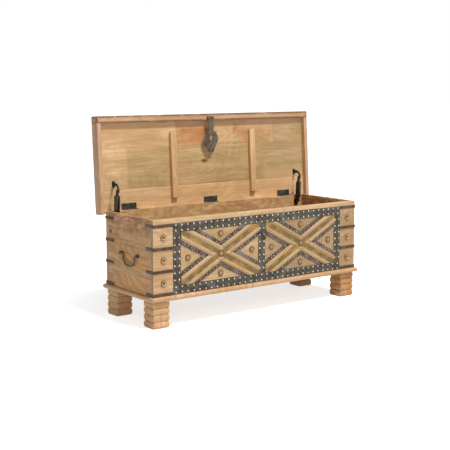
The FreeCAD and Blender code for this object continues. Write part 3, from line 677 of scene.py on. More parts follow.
def knot_marks(label):
    """Knot: heart and swirl of a knot about a centre on the wall or lid."""
    bench, given = new_group(
        label, {"NodeSocketVector": ("Place", "Centre", "Squeeze"), "NodeSocketFloat": ("Size",)},
        {"NodeSocketFloat": ("Heart", "Swirl")})
    spot = given["Place"]
    away = bench.vector("SUBTRACT", {0: spot, 1: given["Centre"]})
    away = bench.vector("MULTIPLY", {0: away, 1: given["Squeeze"]})
    far = bench.vector("LENGTH", {0: away}, "Value") / given["Size"]
    wobble = bench.noise(spot, 90) * 0.6
    warp = (bench.noise(spot, 16) - 0.5) * 5.0
    rings = bench.math("SINE", (far + warp) * 5.0) * 0.5 + 0.5
    broken = bench.span(bench.noise(spot, 22, 2.0, 0.5, (3, 7, 1)), 0.36, 0.56)
    bench.node("NodeGroupOutput", {"Heart": bench.span(far + wobble, 1.1, 0.6),
                                   "Swirl": rings * bench.span(far, 7.5, 1.0) * broken})
    return bench.tree


def beaten_metal(label):
    """Beaten metal: mottled colour, roughness and hammer marks of a worked sheet or bar."""
    bench, given = new_group(
        label,
        {"NodeSocketVector": ("Place",), "NodeSocketColor": ("Metal", "Shade", "Bright"),
         "NodeSocketFloat": ("Dent size", "Smoothness", "Wear")},
        {"NodeSocketColor": ("Colour",), "NodeSocketFloat": ("Roughness", "Height")})
    spot = given["Place"]
    mottle = bench.noise(spot, 70, 5.0, 0.65)
    cloud = bench.noise(spot, 24, 3.0, 0.55, (3, 1, 8))
    speck = bench.span(bench.noise(spot, 260), 0.62, 0.72)
    scaled = bench.vector("SCALE", {0: spot, 3: bench.math("DIVIDE", 1.0, given["Dent size"])})
    dent = bench.value("ShaderNodeTexVoronoi", {"Vector": scaled, "Scale": 1.0, "Smoothness": 0.7},
                       "Distance", feature="SMOOTH_F1")
    metal = bench.mix(bench.span(mottle, 0.36, 0.64), given["Shade"], given["Metal"])
    for share, tint in ((bench.span(cloud, 0.5, 0.7) * 0.55, "Bright"), (speck * 0.6, "Shade"),
                        (given["Wear"] * bench.span(mottle, 0.4, 0.6) * 0.6, "Bright")):
        metal = bench.mix(share, metal, given[tint])
    rough = mottle * 0.35 + (0.55 - given["Smoothness"])
    bench.node("NodeGroupOutput", {"Colour": metal, "Height": dent + mottle * 0.35,
                                   "Roughness": bench.math("ADD", rough, speck * 0.12, clamp=True)})
    return bench.tree


# Finishes
def tinted(colours, name, share=0.0):
    """A colour property made lighter by a share, or darker by a negative one."""
    goal = 1.0 if share > 0 else 0.0
    return (*(part + (goal - part) * abs(share) for part in getattr(colours, name)), 1.0)


def wood_tint(name, share=0.0):
    return tinted(bpy.context.scene.chest_woods, name, share)


def add_shader(bench, worked, base, bump, depth, plain):
    """A shader for a worked surface, with plain values on its own sockets."""
    raised = bench.value("ShaderNodeBump", {"Strength": bump, "Distance": depth,
                                            "Height": worked["Height"]})
    shader = bench.value("ShaderNodeBsdfPrincipled", {
        "Base Color": base, "Roughness": worked["Roughness"], "Normal": raised, **plain})
    bench.node("ShaderNodeOutputMaterial", {"Surface": shader})


def wood_finish(bench, tints, ring, streak, olive_share, curl=0.6, wear=0.2, spacing=13.0 * MM,
                knots=(), stain=None):
    """A board material. tints are the pale, usual, second and rubbed colour; stain adds a layer."""
    tone, warmth, worn = bench.split(bench.attribute("board"))
    pale, honey, olive, rubbed = (wood_tint(*tint) for tint in tints)
    wood = group_values(bench, seasoned_board, {
        "Grain": bench.attribute("grain"), "Tone": tone, "Warmth": warmth, "Wear": worn, "Pale": pale,
        "Honey": honey, "Olive": olive, "Ember": wood_tint("ember"), "Streak": wood_tint("streak"),
        "Rubbed": rubbed, "Ring spacing": spacing, "Ring strength": ring, "Streak strength": streak,
        "Olive share": olive_share, "Curl": curl, "Wear strength": wear})
    base = wood["Colour"]
    if stain:
        base = stain(bench, base, worn)
    fresh = 1.0 - worn
    for centre, squeeze, size, heart, swirl in knots:
        mark = group_values(bench, knot_marks, {"Place": bench.here(), "Centre": centre,
                                                "Squeeze": squeeze, "Size": size})
        base = bench.mix(mark["Swirl"] * (fresh * swirl), base, wood_tint("streak"))
        base = bench.mix(mark["Heart"] * (fresh * heart), base, wood_tint("knot"))
    add_shader(bench, wood, base, 0.3, 0.4 * MM, {"Specular IOR Level": 0.35})


def metal_finish(bench, metal, shade, bright, dent=11.0 * MM, smoothness=0.25, metallic=0.75,
                 bump=0.35, depth=0.6 * MM):
    """A metal material. shade is a colour's name or how much darker, bright how much lighter."""
    irons = bpy.context.scene.chest_irons
    dark = tinted(irons, shade) if isinstance(shade, str) else tinted(irons, metal, -shade)
    _, _, worn = bench.split(bench.attribute("board"))
    worked = group_values(bench, beaten_metal, {
        "Place": bench.here(), "Metal": tinted(irons, metal), "Shade": dark, "Dent size": dent,
        "Bright": tinted(irons, metal, bright), "Smoothness": smoothness, "Wear": worn})
    add_shader(bench, worked, worked["Colour"], bump, depth, {"Metallic": metallic})


def mottled(bench, base, tint, scale, low, high, share, quiet=None):
    """Cloudy patches of a second colour, fainter where quiet is one."""
    cloud = bench.noise(bench.attribute("grain"), scale, 4.0, 0.65, (6, 2, 3))
    patch = bench.span(cloud, low, high, 0.0, share)
    if quiet is not None:
        patch *= bench.span(quiet, 0.0, 1.0, 1.0, 0.3)
    return bench.mix(patch, base, tint)


def inner_stain(bench, base, worn):
    """Pale and reddish clouds, fainter on the wall's outer face."""
    base = bench.mix(worn * 0.35, base, wood_tint("honey", -0.06))
    base = mottled(bench, base, wood_tint("pale"), (9, 24, 24), 0.5, 0.66, 0.7, worn)
    return mottled(bench, base, wood_tint("russet"), (11, 30, 30), 0.5, 0.36, 0.5, worn)


def side_stain(bench, base, worn):
    """A reddish, blotched upper board, with a paler band and a dark seam below it."""
    seam = SIDE_HIGH.z - 0.31 * (SIDE_HIGH.z - SIDE_LOW.z)
    _, y, z = bench.split(bench.here())
    wave = (bench.noise(bench.here(), (1, 9, 22), 3.0) - 0.5) * 0.06
    level = z + wave
    upper = bench.span(level, seam + 0.018, seam + 0.048)
    pale = bench.span(level, seam - 0.008, seam + 0.006) * bench.span(upper, 1.0, 0.0)
    base = bench.mix(pale * 0.45, base, wood_tint("honey", 0.05))
    blotch = bench.noise(bench.attribute("grain"), (24, 52, 52), 2.0, 0.6)
    for tint, end in ((wood_tint("russet", -0.3), 0.6), (wood_tint("rose", 0.1), 0.34)):
        base = bench.mix(upper * bench.span(blotch, 0.46, end, 0.0, 0.75), base, tint)
    base = mottled(bench, base, wood_tint("rose", 0.25), (8, 40, 40), 0.46, 0.32, 0.4)
    line = bench.span(abs(z - seam + wave), 0.012, 0.002)
    fading = bench.span(y, SIDE_LOW.y + 0.1, SIDE_LOW.y + 0.2)
    return bench.mix(line * fading * 0.5, base, wood_tint("streak"))


def plank_stain_and_painted_light(bench, base, worn):
    """A paler foot at the right end of the middle plank, and an even strip along the front rim."""
    x, _, z = bench.split(bench.here())
    foot = bench.span(z, PLANK_LOW.z + 0.075, PLANK_LOW.z + 0.03) * bench.span(x, 0.27, 0.33)
    # Painted light: the top of the front plank, in the front rim's shadow, is tinted warmer and evened
    # out.
    strip = bench.span(z, PLANK_TOP - 0.036, PLANK_TOP - 0.028)
    fresh = 1.0 - worn
    base = bench.mix(foot * fresh * 0.55, base, wood_tint("honey"))
    return bench.mix(strip * fresh * 0.45, base, wood_tint("rose", 0.1))


def rim_stain(bench, base, worn):
    return mottled(bench, base, wood_tint("russet"), (14, 40, 40), 0.54, 0.7, 0.5)


def bar_stain(bench, base, worn):
    """Dark stain in both grooves, laid on by the distance from the middle line of either bar."""
    centre, slope = field_frame("cross_right_rising")
    x, _, z = bench.split(bench.here())
    along = (abs(x) - centre.x) * math.sin(slope)
    rise = (z - centre.z) * math.cos(slope)
    rough_edge = (bench.noise(bench.here(), 55, 3.0) - 0.5) * (7.0 * MM)
    falling, rising = (bench.span(abs(line) + rough_edge, 13.0 * MM, 7.0 * MM)
                       for line in (rise + along, rise - along))
    patch = bench.span(bench.noise(bench.here(), 26, 3.0, 0.6), 0.42, 0.66)
    dark = bench.mix(patch, wood_tint("groove"), wood_tint("groove_worn"))
    return bench.mix(bench.math("MAXIMUM", falling, rising) * 0.85, base, dark)


# Studs keep their ring darkness where other woods keep wear: painted shade on the flank at the foot,
# and the dark turned ring and centre.
def stud_stain_and_painted_shade(bench, base, worn):
    return bench.mix(worn, base, wood_tint("stud_groove"))


def field_frame(node):
    """Centre of a front field, and the slope of the bars across it."""
    low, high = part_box(node)
    return (low + high) / 2, math.atan2(high.z - low.z, high.x - low.x)


SIDE_LOW, SIDE_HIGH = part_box("side_panel_left")
PLANK_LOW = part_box("lid_plank_middle")[0]
PLANK_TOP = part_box("lid_plank_front")[1].z

# Knots: centre, squeeze along each axis, size, strength of the heart and of the swirl
SIDE_KNOTS = (
    ((SIDE_LOW.x, SIDE_HIGH.y - 0.018, SIDE_HIGH.z - 0.076), (0.3, 0.8, 1.0), 15.0 * MM, 1.0, 0.5),
    ((SIDE_LOW.x, SIDE_HIGH.y - 0.075, SIDE_HIGH.z - 0.085), (0.3, 0.8, 1.0), 6.0 * MM, 0.6, 0.35),
    ((SIDE_LOW.x, SIDE_LOW.y + 0.105, SIDE_HIGH.z - 0.062), (0.3, 0.45, 1.0), 8.0 * MM, 0.0, 0.45))
PLANK_KNOTS = (((-0.026, PLANK_LOW.y, 0.605), (0.45, 0.0, 1.0), 14.0 * MM, 0.9, 0.16),)

# Pale, usual, second and rubbed colour of each wood, and the strength of its figure
WOODS = {
    "front_wood": ((("pale",), ("honey",), ("olive",), ("pale", 0.1)),
                   dict(ring=0.2, streak=0.22, olive_share=0.3, curl=0.4)),
    "inner_wood": ((("honey",), ("honey", -0.12), ("olive",), ("honey", -0.1)),
                   dict(ring=0.3, streak=0.4, olive_share=0.5, curl=0.9, stain=inner_stain)),
    "side_wood": ((("rose", 0.06), ("rose",), ("olive", -0.08), ("rose", 0.1)),
                  dict(ring=0.45, streak=0.6, olive_share=0.55, curl=1.2, spacing=12.0 * MM,
                       stain=side_stain, knots=SIDE_KNOTS)),
    "plank_wood": ((("pale",), ("honey",), ("olive",), ("honey", 0.1)),
                   dict(ring=0.15, streak=0.26, olive_share=0.38, curl=0.45, wear=0.03,
                        spacing=15.0 * MM, stain=plank_stain_and_painted_light, knots=PLANK_KNOTS)),
    "batten_wood": ((("pale",), ("honey",), ("honey",), ("pale", 0.05)),
                    dict(ring=0.15, streak=0.25, olive_share=0.2, curl=0.3, wear=0.1)),
    "rim_wood": ((("rim", 0.08), ("rim", -0.06), ("rose",), ("russet", -0.5)),
                 dict(ring=0.15, streak=0.3, olive_share=0.3, curl=0.4, wear=1.1, stain=rim_stain)),
    "block_wood": ((("honey", 0.08), ("honey", -0.06), ("rose",), ("pale", 0.05)),
                   dict(ring=0.14, streak=0.2, olive_share=0.3, curl=1.1)),
    "bar_wood": ((("bead", 0.08), ("bead", -0.08), ("bead", -0.25), ("bead",)),
                 dict(ring=0.2, streak=0.4, olive_share=0.35, wear=0.0, spacing=9.0 * MM,
                      stain=bar_stain)),
    "stud_wood": ((("stud", 0.1), ("stud",), ("stud", -0.2), ("stud",)),
                  dict(ring=0.1, streak=0.2, olive_share=0.3, wear=0.0, spacing=3.0 * MM,
                       stain=stud_stain_and_painted_shade)),
}

# Colour, shade and brightness of each metal, and how it is worked
METALS = {
    "band_iron": ("band", "band_dark", 0.07, dict(smoothness=0.1, metallic=0.35)),
    "saw_iron": ("saw", "band_dark", 0.1, dict(dent=5.0 * MM, metallic=0.5)),
    "handle_iron": ("handle", 0.5, 0.06, dict(dent=4.0 * MM, metallic=0.5, bump=0.2, depth=0.3 * MM)),
    "strap_iron": ("strap", "strap_dark", 0.05, dict(smoothness=0.1, metallic=0.4)),
    "nail_steel": ("nail", 0.25, 0.0, dict(dent=2.0 * MM, smoothness=0.35, metallic=0.8, bump=0.1,
                                           depth=0.2 * MM)),
    "hasp_iron": ("forged", "forged_dark", 0.06, dict(dent=8.0 * MM, metallic=0.55)),
    "hinge_plate": ("plate", 0.35, 0.15, dict(dent=3.0 * MM, smoothness=0.35, metallic=0.8, bump=0.08,
                                              depth=0.2 * MM)),
    "stay_black": ("stay", 0.4, 0.03, dict(dent=2.0 * MM, smoothness=0.4, metallic=0.3, bump=0.03,
                                           depth=0.1 * MM)),
}


def finish(name):
    """A finish by its name, made the first time it is asked for."""
    material = bpy.data.materials.get(name)
    if material is None:
        material = bpy.data.materials.new(name)
        bench = fresh_bench(material)
        if name in WOODS:
            tints, figure = WOODS[name]
            wood_finish(bench, tints, **figure)
        else:
            *colours, working = METALS[name]
            metal_finish(bench, *colours, **working)
    return material


# Pieces
# Tone and warmth of the boards on the front: three at each end, one in each field, and the top strip
# The right end and field boards are darker partly for their wood and partly as painted shade, for light
# that falls off towards the right.
END_BOARDS = {"left": ((-0.13, 0.2), (-0.15, 0.15), (-0.16, 0.05)),
              "right": ((-0.28, 0.3), (-0.3, 0.3), (-0.3, 0.25))}
FIELD_BOARDS = {"left": (-0.14, -0.25), "right": (-0.32, -0.3)}
TOP_STRIP = (-0.1, -0.05)

# Share of the wall's height, tone and warmth of each board, from the foot up
BACK_BOARDS = ((0.34, -0.05, 0.0), (0.36, 0.0, 0.0), (0.3, 0.02, -0.05))
SIDE_BOARDS = ((0.22, 0.06, 0.3), (0.46, 0.0, 0.0), (0.32, -0.05, 0.35))
FLOOR_BOARDS = ((0.34, -0.12, 0.0), (0.33, -0.08, 0.0), (0.33, -0.1, 0.0))

# Tone added on the ends of boards
END_GRAIN = -0.3

# Staves of each lid plank: right end, tone and warmth
LID_STAVES = {
    "front": ((-0.169, -0.06, 0.15), (0.000, -0.12, 0.75), (0.141, -0.06, 0.25), (0.215, -0.12, 0.75),
              (0.363, -0.14, 0.3), (None, -0.2, -0.4)),
    "middle": ((-0.420, -0.04, -0.1), (-0.180, -0.1, -0.45), (0.030, -0.08, -0.45),
               (0.280, -0.12, -0.5), (None, -0.18, -0.45)),
    "back": ((-0.210, 0.05, 0.15), (0.230, 0.08, 0.1), (None, 0.18, 0.1)),
}

# How far one stave runs into the next, and how strongly the staves show on the outer face
STAVE_BLEND = 4.0 * MM
OUTER_SHOW = 0.25

# The plinth's nose as a share of its height, the range of its tone and warmth, and its wear
PLINTH_NOSE = 0.49
PLINTH_TONES, PLINTH_WARMTHS, PLINTH_WEAR = (-0.12, -0.06), (0.1, 0.3), 0.3

# Tone and warmth of each leg
LEG_LOOKS = {("front", "left"): (0.0, 0.42), ("front", "right"): (-0.12, 0.7),
             ("back", "left"): (0.0, 0.4), ("back", "right"): (-0.08, 0.5)}

# Rolls of a leg below its cap, heights of the rings in a roll, and painted shade at the foot, in a cut
# and at the top
LEG_ROLLS = 3
ROLL_RINGS = (0.07, 0.15, 0.28, 0.5, 0.72, 0.85, 0.93)
FOOT_PAINTED_SHADE, CUT_PAINTED_SHADE, TOP_PAINTED_SHADE = 0.35, 0.36, 0.3

# Wear of a leg's upright edges and how far it reaches
LEG_WEAR, LEG_WEAR_REACH = 0.6, 4.0 * MM

# Share of the radius, share of the height and darkness of each ring of a stud: painted shade on the
# outer flank at its foot, and the dark colour of its turned ring and centre
STUD_RINGS = {
    "cross_studs": (
        (1.0, 0.0, 1.0), (1.0, 0.3, 1.0), (0.96, 0.55, 0.95), (0.88, 0.72, 0.85), (0.8, 0.74, 0.85),
        (0.73, 0.62, 1.0), (0.66, 0.6, 0.9), (0.58, 0.76, 0.5), (0.44, 0.92, 0.35), (0.26, 1.0, 0.35),
        (0.1, 1.0, 0.75)),
    "corner_studs": (
        (1.0, 0.0, 0.9), (1.0, 0.3, 0.9), (0.96, 0.6, 0.9), (0.89, 0.9, 0.85), (0.82, 1.0, 0.55),
        (0.74, 1.0, 0.2), (0.66, 0.9, 0.15), (0.58, 0.66, 0.15), (0.5, 0.5, 0.4), (0.42, 0.46, 0.8),
        (0.34, 0.5, 1.0), (0.26, 0.62, 1.0), (0.16, 0.74, 0.9), (0.07, 0.78, 0.9)),
}

# Share of a band's thickness below its dents, the distance of its cuts and the reach of its wear
BAND_FACE = 0.9
BAND_CUTS = 6 * MM
BAND_WEAR = 2 * MM

# Share of the radius and of the height of each ring of a nail and a tack, and a tack's height in radii
NAIL_RINGS = ((1.0, 0.0), (1.0, 0.22), (0.84, 0.62), (0.5, 0.92), (0.18, 1.0))
TACK_RINGS = ((1.0, 0.0), (1.0, 0.2), (0.6, 0.5), (0.2, 0.6))

# Share of the radius, and height against the plate's face, of each ring of a screw; foot of its slot
SCREW_RINGS = ((0.5, -1.4 * MM), (0.95, -0.12 * MM), (0.8, -0.02 * MM))
SLOT_FOOT = -0.6 * MM

# Half the width of a cross bar and of a toothed strip, and how far the tacks keep from a strip's ends
BAR_HALF = 27.5 * MM
STRIP_HALF = 6.0 * MM
TACK_MARGIN = 6 * MM


def make_front_wall():
    """The front, with its seams under the bands and straps."""
    sizes = bpy.context.scene.chest_sizes
    low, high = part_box("front_panel")
    heights = sorted((strap_low.z + strap_high.z) / 2
                     for strap_low, strap_high in solid_boxes("corner_straps_front_left"))
    levels = [low.z] + heights[1:]
    pieces = []

    def add(x0, x1, z0, z1, look):
        first, last = Vector((x0, low.y, z0)), Vector((x1, high.y, z1))
        pieces.append(board(f"front_board_{len(pieces)}", first, last, X, look, ease=sizes.seam_ease,
                            end_tone=END_GRAIN))

    for side, way in SIDES:
        band_low, band_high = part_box("band_" + side)
        seam = (band_low.x + band_high.x) / 2
        end = far_side(way, low.x, high.x)
        for z0, z1, look in zip(levels, levels[1:], END_BOARDS[side]):
            add(*sorted((seam, end)), z0, z1, look)
        add(*sorted((seam, 0.0)), low.z, levels[-1], FIELD_BOARDS[side])
    add(low.x, high.x, levels[-1], high.z, TOP_STRIP)
    settle(join(pieces, "front_wall"), "chest", "chest_wood", finish("front_wood"), "front_panel")


def make_walls():
    sizes = bpy.context.scene.chest_sizes
    make_front_wall()
    low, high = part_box("back_panel")
    leaf_play = Vector((0.5 * MM, 0.3 * MM, 0.3 * MM))
    rooms = [(leaf_low - leaf_play, leaf_high + leaf_play)
             for leaf_low, leaf_high in solid_boxes("hinge_body_leaves")]
    mid = (low.y + high.y) / 2
    back = stacked_boards("back_wall", low, high, X, Z, BACK_BOARDS, rooms, ease=sizes.seam_ease,
                          end_tone=END_GRAIN, worn=lambda point, at_edge: point.y > mid)
    settle(back, "chest", "chest_wood", finish("inner_wood"), "back_panel")
    for side, _ in SIDES:
        node = "side_panel_" + side
        wall = stacked_boards("side_wall_" + side, *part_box(node), Y, Z, SIDE_BOARDS,
                              ease=sizes.seam_ease)
        settle(wall, "chest", "chest_wood", finish("side_wood"), node)
    low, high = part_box("bottom_board")
    low.x, high.x = SIDE_HIGH.x, -SIDE_HIGH.x
    low.y, high.y = SIDE_LOW.y, SIDE_HIGH.y
    floor = stacked_boards("floor_boards", low, high, X, Y, FLOOR_BOARDS)
    settle(floor, "chest", "chest_wood", finish("front_wood"), "bottom_board")


def make_plinth():
    for name, across, outward in (("front", Y, -1), ("back", Y, 1), ("left", X, -1), ("right", X, 1)):
        node = "base_rail_" + name
        low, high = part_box(node)
        along = X if across == Y else Y
        width = high[across] - low[across]
        outer = far_side(outward, low[across], high[across])
        inner = far_side(-outward, low[across], high[across])
        piece = start_block("plinth_" + name, low, high)
        with editing(piece):
            for end, way in ((low[along], 1), (high[along], -1)):
                push(piece, lambda point: near(point.co[across], inner) and near(point.co[along], end),
                     along, way * width)
            round_off(piece, lambda edge: runs_along(edge, along) and near(middle(edge)[across], outer),
                      PLINTH_NOSE * (high.z - low.z), segments=7)
        draw = random.Random(piece.name)
        look = draw.uniform(*PLINTH_TONES), draw.uniform(*PLINTH_WARMTHS)
        mark_wood(piece, along, lambda point: look, lambda point: PLINTH_WEAR)
        settle(smooth(piece), "chest", "leg_wood", finish("block_wood"), node)


def leg_rings(low, high, half):
    """Half width, height and darkness of each ring of a leg's outline, from the floor up."""
    sizes = bpy.context.scene.chest_sizes
    roll = (high.z - low.z - sizes.leg_cap) / LEG_ROLLS
    floors = [low.z + roll * number for number in range(LEG_ROLLS + 1)] + [high.z]
    hollow = half - sizes.leg_notch
    rings = [(hollow, low.z, FOOT_PAINTED_SHADE)]
    for bottom, top in zip(floors, floors[1:]):
        for share in ROLL_RINGS:
            width = half - sizes.leg_notch * (2 * share - 1) ** 2
            rings.append((width, bottom + share * (top - bottom), 0.0))
        rings.append((hollow - sizes.leg_cut, top, CUT_PAINTED_SHADE))
    rings[-1] = (hollow, high.z, TOP_PAINTED_SHADE)
    return rings


def make_legs():
    sizes = bpy.context.scene.chest_sizes
    for (end, side), (tone, warmth) in LEG_LOOKS.items():
        node = f"leg_{end}_{side}"
        low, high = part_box(node)
        centre = (low + high) / 2
        half = (high.x - low.x) / 2
        rings = leg_rings(low, high, half)
        take()
        bpy.ops.mesh.primitive_plane_add(size=2 * rings[0][0], location=(centre.x, centre.y, low.z))
        piece = started("carved_" + node)
        with editing(piece):
            raise_rings([ring[:2] for ring in rings], centre.x, centre.y)
            for axis in (X, Y):
                cross_cuts(piece, axis, 5)
            round_off(piece, lambda edge: sharp(edge) and not runs_along(edge, X)
                      and not runs_along(edge, Y), sizes.leg_round, segments=3)
            bpy.ops.mesh.select_all(action="SELECT")
            bpy.ops.transform.vertex_random(offset=sizes.leg_rough, seed=3)

        # A point takes the painted shade of its nearest ring, so the foot, the cuts and the top are
        # darker.
        def shade(point):
            return tone - min(rings, key=lambda ring: abs(ring[1] - point.z))[2], warmth

        def wear(point):
            less, more = sorted((abs(point.x - centre.x), abs(point.y - centre.y)))
            return LEG_WEAR if more - less < LEG_WEAR_REACH and more > 0.8 * half else 0.0

        mark_wood(piece, Z, shade, wear)
        settle(smooth(piece, 28.0), "chest", "leg_wood", finish("block_wood"), node)


def make_corner_straps():
    sizes = bpy.context.scene.chest_sizes
    for end, end_way in ENDS:
        wall_low, wall_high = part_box(f"{end}_panel")
        wall_face = far_side(end_way, wall_low.y, wall_high.y)
        for side, side_way in SIDES:
            node = f"corner_straps_{end}_{side}"
            wall_end = far_side(side_way, wall_low.x, wall_high.x)

            def wraps(face):
                """Whether a face lies beyond the wall's end, where the strap turns the corner."""
                spot = face.calc_center_median()
                return (abs(face.normal.y) > 0.9 and near(spot.y, wall_face)
                        and side_way * (spot.x - wall_end) > 0)

            straps = []
            for low, high in solid_boxes(node):
                reach = far_side(-end_way, low.y, high.y)
                mid = (low.z + high.z) / 2
                (high if end_way < 0 else low).y = wall_face
                piece = start_block(f"{node}_{len(straps)}", low, high)
                with editing(piece):
                    bpy.ops.mesh.bisect(plane_co=(wall_end, 0, 0), plane_no=(1, 0, 0))
                    choose(piece, "FACE", wraps)
                    bpy.ops.mesh.extrude_region_move(
                        TRANSFORM_OT_translate={"value": (0, reach - wall_face, 0)})
                    cross_cuts(piece, Z, 3)
                    for axis, way in ((Y, end_way), (X, side_way)):
                        outer = far_side(way, low[axis], high[axis])
                        push(piece, lambda point: near(point.co.z, mid) and near(point.co[axis], outer),
                             axis, way * sizes.strap_rib)
                    round_off(piece, sharp, sizes.strap_ease)
                straps.append(piece)
            piece = smooth(join(straps, f"straps_{end}_{side}"))
            settle(piece, "chest", "dark_strap", finish("strap_iron"), node)


def make_bands():
    sizes = bpy.context.scene.chest_sizes
    dents = bpy.data.textures.new("hammer_marks", "CLOUDS")
    dents.noise_scale = sizes.dent_width
    dents.noise_depth = 1
    for name in ("top", "bottom", "left", "right", "centre"):
        node = "band_" + name
        low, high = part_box(node)
        along, across = (X, Z) if name in ("top", "bottom") else (Z, X)
        low.y = high.y - (high.y - low.y) * BAND_FACE
        piece = start_block("iron_" + node, low, high)
        with editing(piece):
            round_off(piece, lambda edge: near(middle(edge).y, low.y), sizes.band_ease)
            cross_cuts(piece, along, int((high[along] - low[along]) / BAND_CUTS))
            cross_cuts(piece, across, 6)
        face = [point.index for point in piece.data.vertices if near(point.co.y, low.y)]
        piece.vertex_groups.new(name="face").add(face, 1.0, "REPLACE")
        modify(piece, "DISPLACE", texture=dents, texture_coords="LOCAL", strength=sizes.band_dent,
               mid_level=0.75, vertex_group="face")
        piece.vertex_groups.clear()
        rims = [min(abs(point.co[across] - low[across]), abs(point.co[across] - high[across]))
                for point in piece.data.vertices]
        put_vectors(piece, "board", [(0.0, 0.0, float(rim < BAND_WEAR)) for rim in rims])
        settle(smooth(piece), "chest", "iron_band", finish("band_iron"), node)


def make_nails():
    heads = solid_boxes("band_nails")
    foot = max(high.y for _, high in heads)
    crown = foot - min(low.y for low, _ in heads)
    radius = max(high.x - low.x for low, high in heads) / 2
    outline = [(share * radius, rise * crown) for share, rise in NAIL_RINGS]
    blank = turned("nail_blank", outline, sides=9)
    places = [Vector(((low.x + high.x) / 2, foot, (low.z + high.z) / 2)) for low, high in heads]
    piece = set_copies(blank, "nail_heads", places, TO_FRONT, spread=0.07)
    settle(smooth(piece, 60.0), "chest", "bright_nail", finish("nail_steel"), "band_nails")


def bar_axes(slope, sign):
    """Directions along and across a rising or falling bar."""
    return (Vector((math.cos(slope), 0, sign * math.sin(slope))),
            Vector((-sign * math.sin(slope), 0, math.cos(slope))))


def make_cross_bars():
    for side, _ in SIDES:
        for way, sign in (("rising", 1), ("falling", -1)):
            node = f"cross_{side}_{way}"
            centre, slope = field_frame(node)
            piece = eased_copy(node, f"bar_{side}_{way}", bpy.context.scene.chest_sizes.bar_ease)
            run, over = bar_axes(slope, sign)

            def to_grain(point):
                return Vector(((point - centre) @ run, (point - centre) @ over, point.y - centre.y))

            mark_wood(piece, X, lambda point: (0.0, 0.0), lambda point: 0.0, to_grain)
            settle(smooth(piece), "chest", "carved_wood", finish("bar_wood"), node)


def tack_places(side):
    """Places along the middle of each toothed strip, clear of the other bar's strips."""
    pitch = bpy.context.scene.chest_sizes.tack_pitch
    centre, slope = field_frame(f"cross_{side}_rising")
    low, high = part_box("sawtooth_" + side)
    reach = int((high - low).length / pitch)
    places = []
    for sign in (1, -1):
        run, over = bar_axes(slope, sign)
        _, other = bar_axes(slope, -sign)
        for edge in (1, -1):
            for number in range(-reach, reach + 1):
                spot = centre + run * (number + 0.5) * pitch + over * edge * (BAR_HALF + STRIP_HALF)
                inside = all(low[axis] + TACK_MARGIN < spot[axis] < high[axis] - TACK_MARGIN
                             for axis in (X, Z))
                if inside and abs((spot - centre) @ other) > BAR_HALF + 2 * STRIP_HALF:
                    places.append(Vector((spot.x, low.y, spot.z)))
    return places


def make_sawteeth():
    sizes = bpy.context.scene.chest_sizes
    outline = [(share * sizes.tack_radius, rise * sizes.tack_radius) for share, rise in TACK_RINGS]
    for side, _ in SIDES:
        node = "sawtooth_" + side
        piece = eased_copy(node, "saw_strips_" + side, sizes.saw_ease, segments=1)
        settle(smooth(piece), "chest", "dark_strap", finish("saw_iron"), node)
        tacks = set_copies(turned("tack_blank", outline, sides=8), "saw_tacks_" + side,
                           tack_places(side), TO_FRONT, spread=0.15)
        settle(smooth(tacks, 60.0), "chest", "bright_nail", finish("nail_steel"))


def make_studs():
    for node, name in (("cross_studs", "field_studs"), ("corner_studs", "corner_rosettes")):
        boxes = solid_boxes(node)
        radius = max(high.x - low.x for low, high in boxes) / 2
        height = min(high.y - low.y for low, high in boxes)
        rings = [(share * radius, rise * height, dark) for share, rise, dark in STUD_RINGS[node]]
        blank = turned("stud_blank", [ring[:2] for ring in rings], sides=32)
        blank.name = name

        # Ring darkness, stored as the wear: painted shade at the stud's foot, and the dark turned ring
        # and centre elsewhere.
        def darkness(point):
            _, _, dark = min(rings, key=lambda ring: (abs(ring[0] - point.xy.length)
                                                      + abs(ring[1] - point.z)))
            return dark

        mark_wood(blank, X, lambda point: (0.0, 0.0), darkness)
        places = [Vector(((low.x + high.x) / 2, low.y + height, (low.z + high.z) / 2))
                  for low, high in boxes]
        piece = set_copies(blank, name, places, TO_FRONT, spread=0.02)
        settle(smooth(piece, 50.0), "chest", "carved_wood", finish("stud_wood"), node)


# The lid is made shut, then turned open about its hinge
def lid_turn(way):
    pivot = Vector(LID_HINGE["pos_m"])
    angle = way * math.radians(LID_HINGE["range_deg"][1])
    return Matrix.Translation(pivot) @ Matrix.Rotation(angle, 4, "X") @ Matrix.Translation(-pivot)


def shut_box(node):
    """Lowest and highest corner of a lid node with the lid shut."""
    shut = lid_turn(1)
    return corners([shut @ point.co for point in NODES[node].data.vertices])


def turn_open(piece):
    piece.matrix_world = lid_turn(-1)
    take(piece)
    fix_place()
    return piece


def stave_look(staves, outer):
    """Tone and warmth along a plank of several staves, fainter on the outer face."""

    def look(point):
        _, tone, warmth = staves[0]
        for (edge, _, _), (_, next_tone, next_warmth) in zip(staves, staves[1:]):
            share = min(max((point.x - edge) / STAVE_BLEND + 0.5, 0.0), 1.0)
            tone += (next_tone - tone) * share
            warmth += (next_warmth - warmth) * share
        strength = OUTER_SHOW if outer(point) else 1.0
        return strength * tone, strength * warmth

    return look


def make_planks():
    sizes = bpy.context.scene.chest_sizes
    for plank, staves in LID_STAVES.items():
        node = "lid_plank_" + plank
        low, high = shut_box(node)

        def outer(point):
            return point.z > (low.z + high.z) / 2

        piece = board("boards_" + node, low, high, X, stave_look(staves, outer), ease=sizes.seam_ease,
                      cuts=int((high.x - low.x) / STAVE_BLEND),
                      worn=lambda point, at_edge: outer(point))
        settle(turn_open(piece), "lid", "lid_wood", finish("plank_wood"), node)


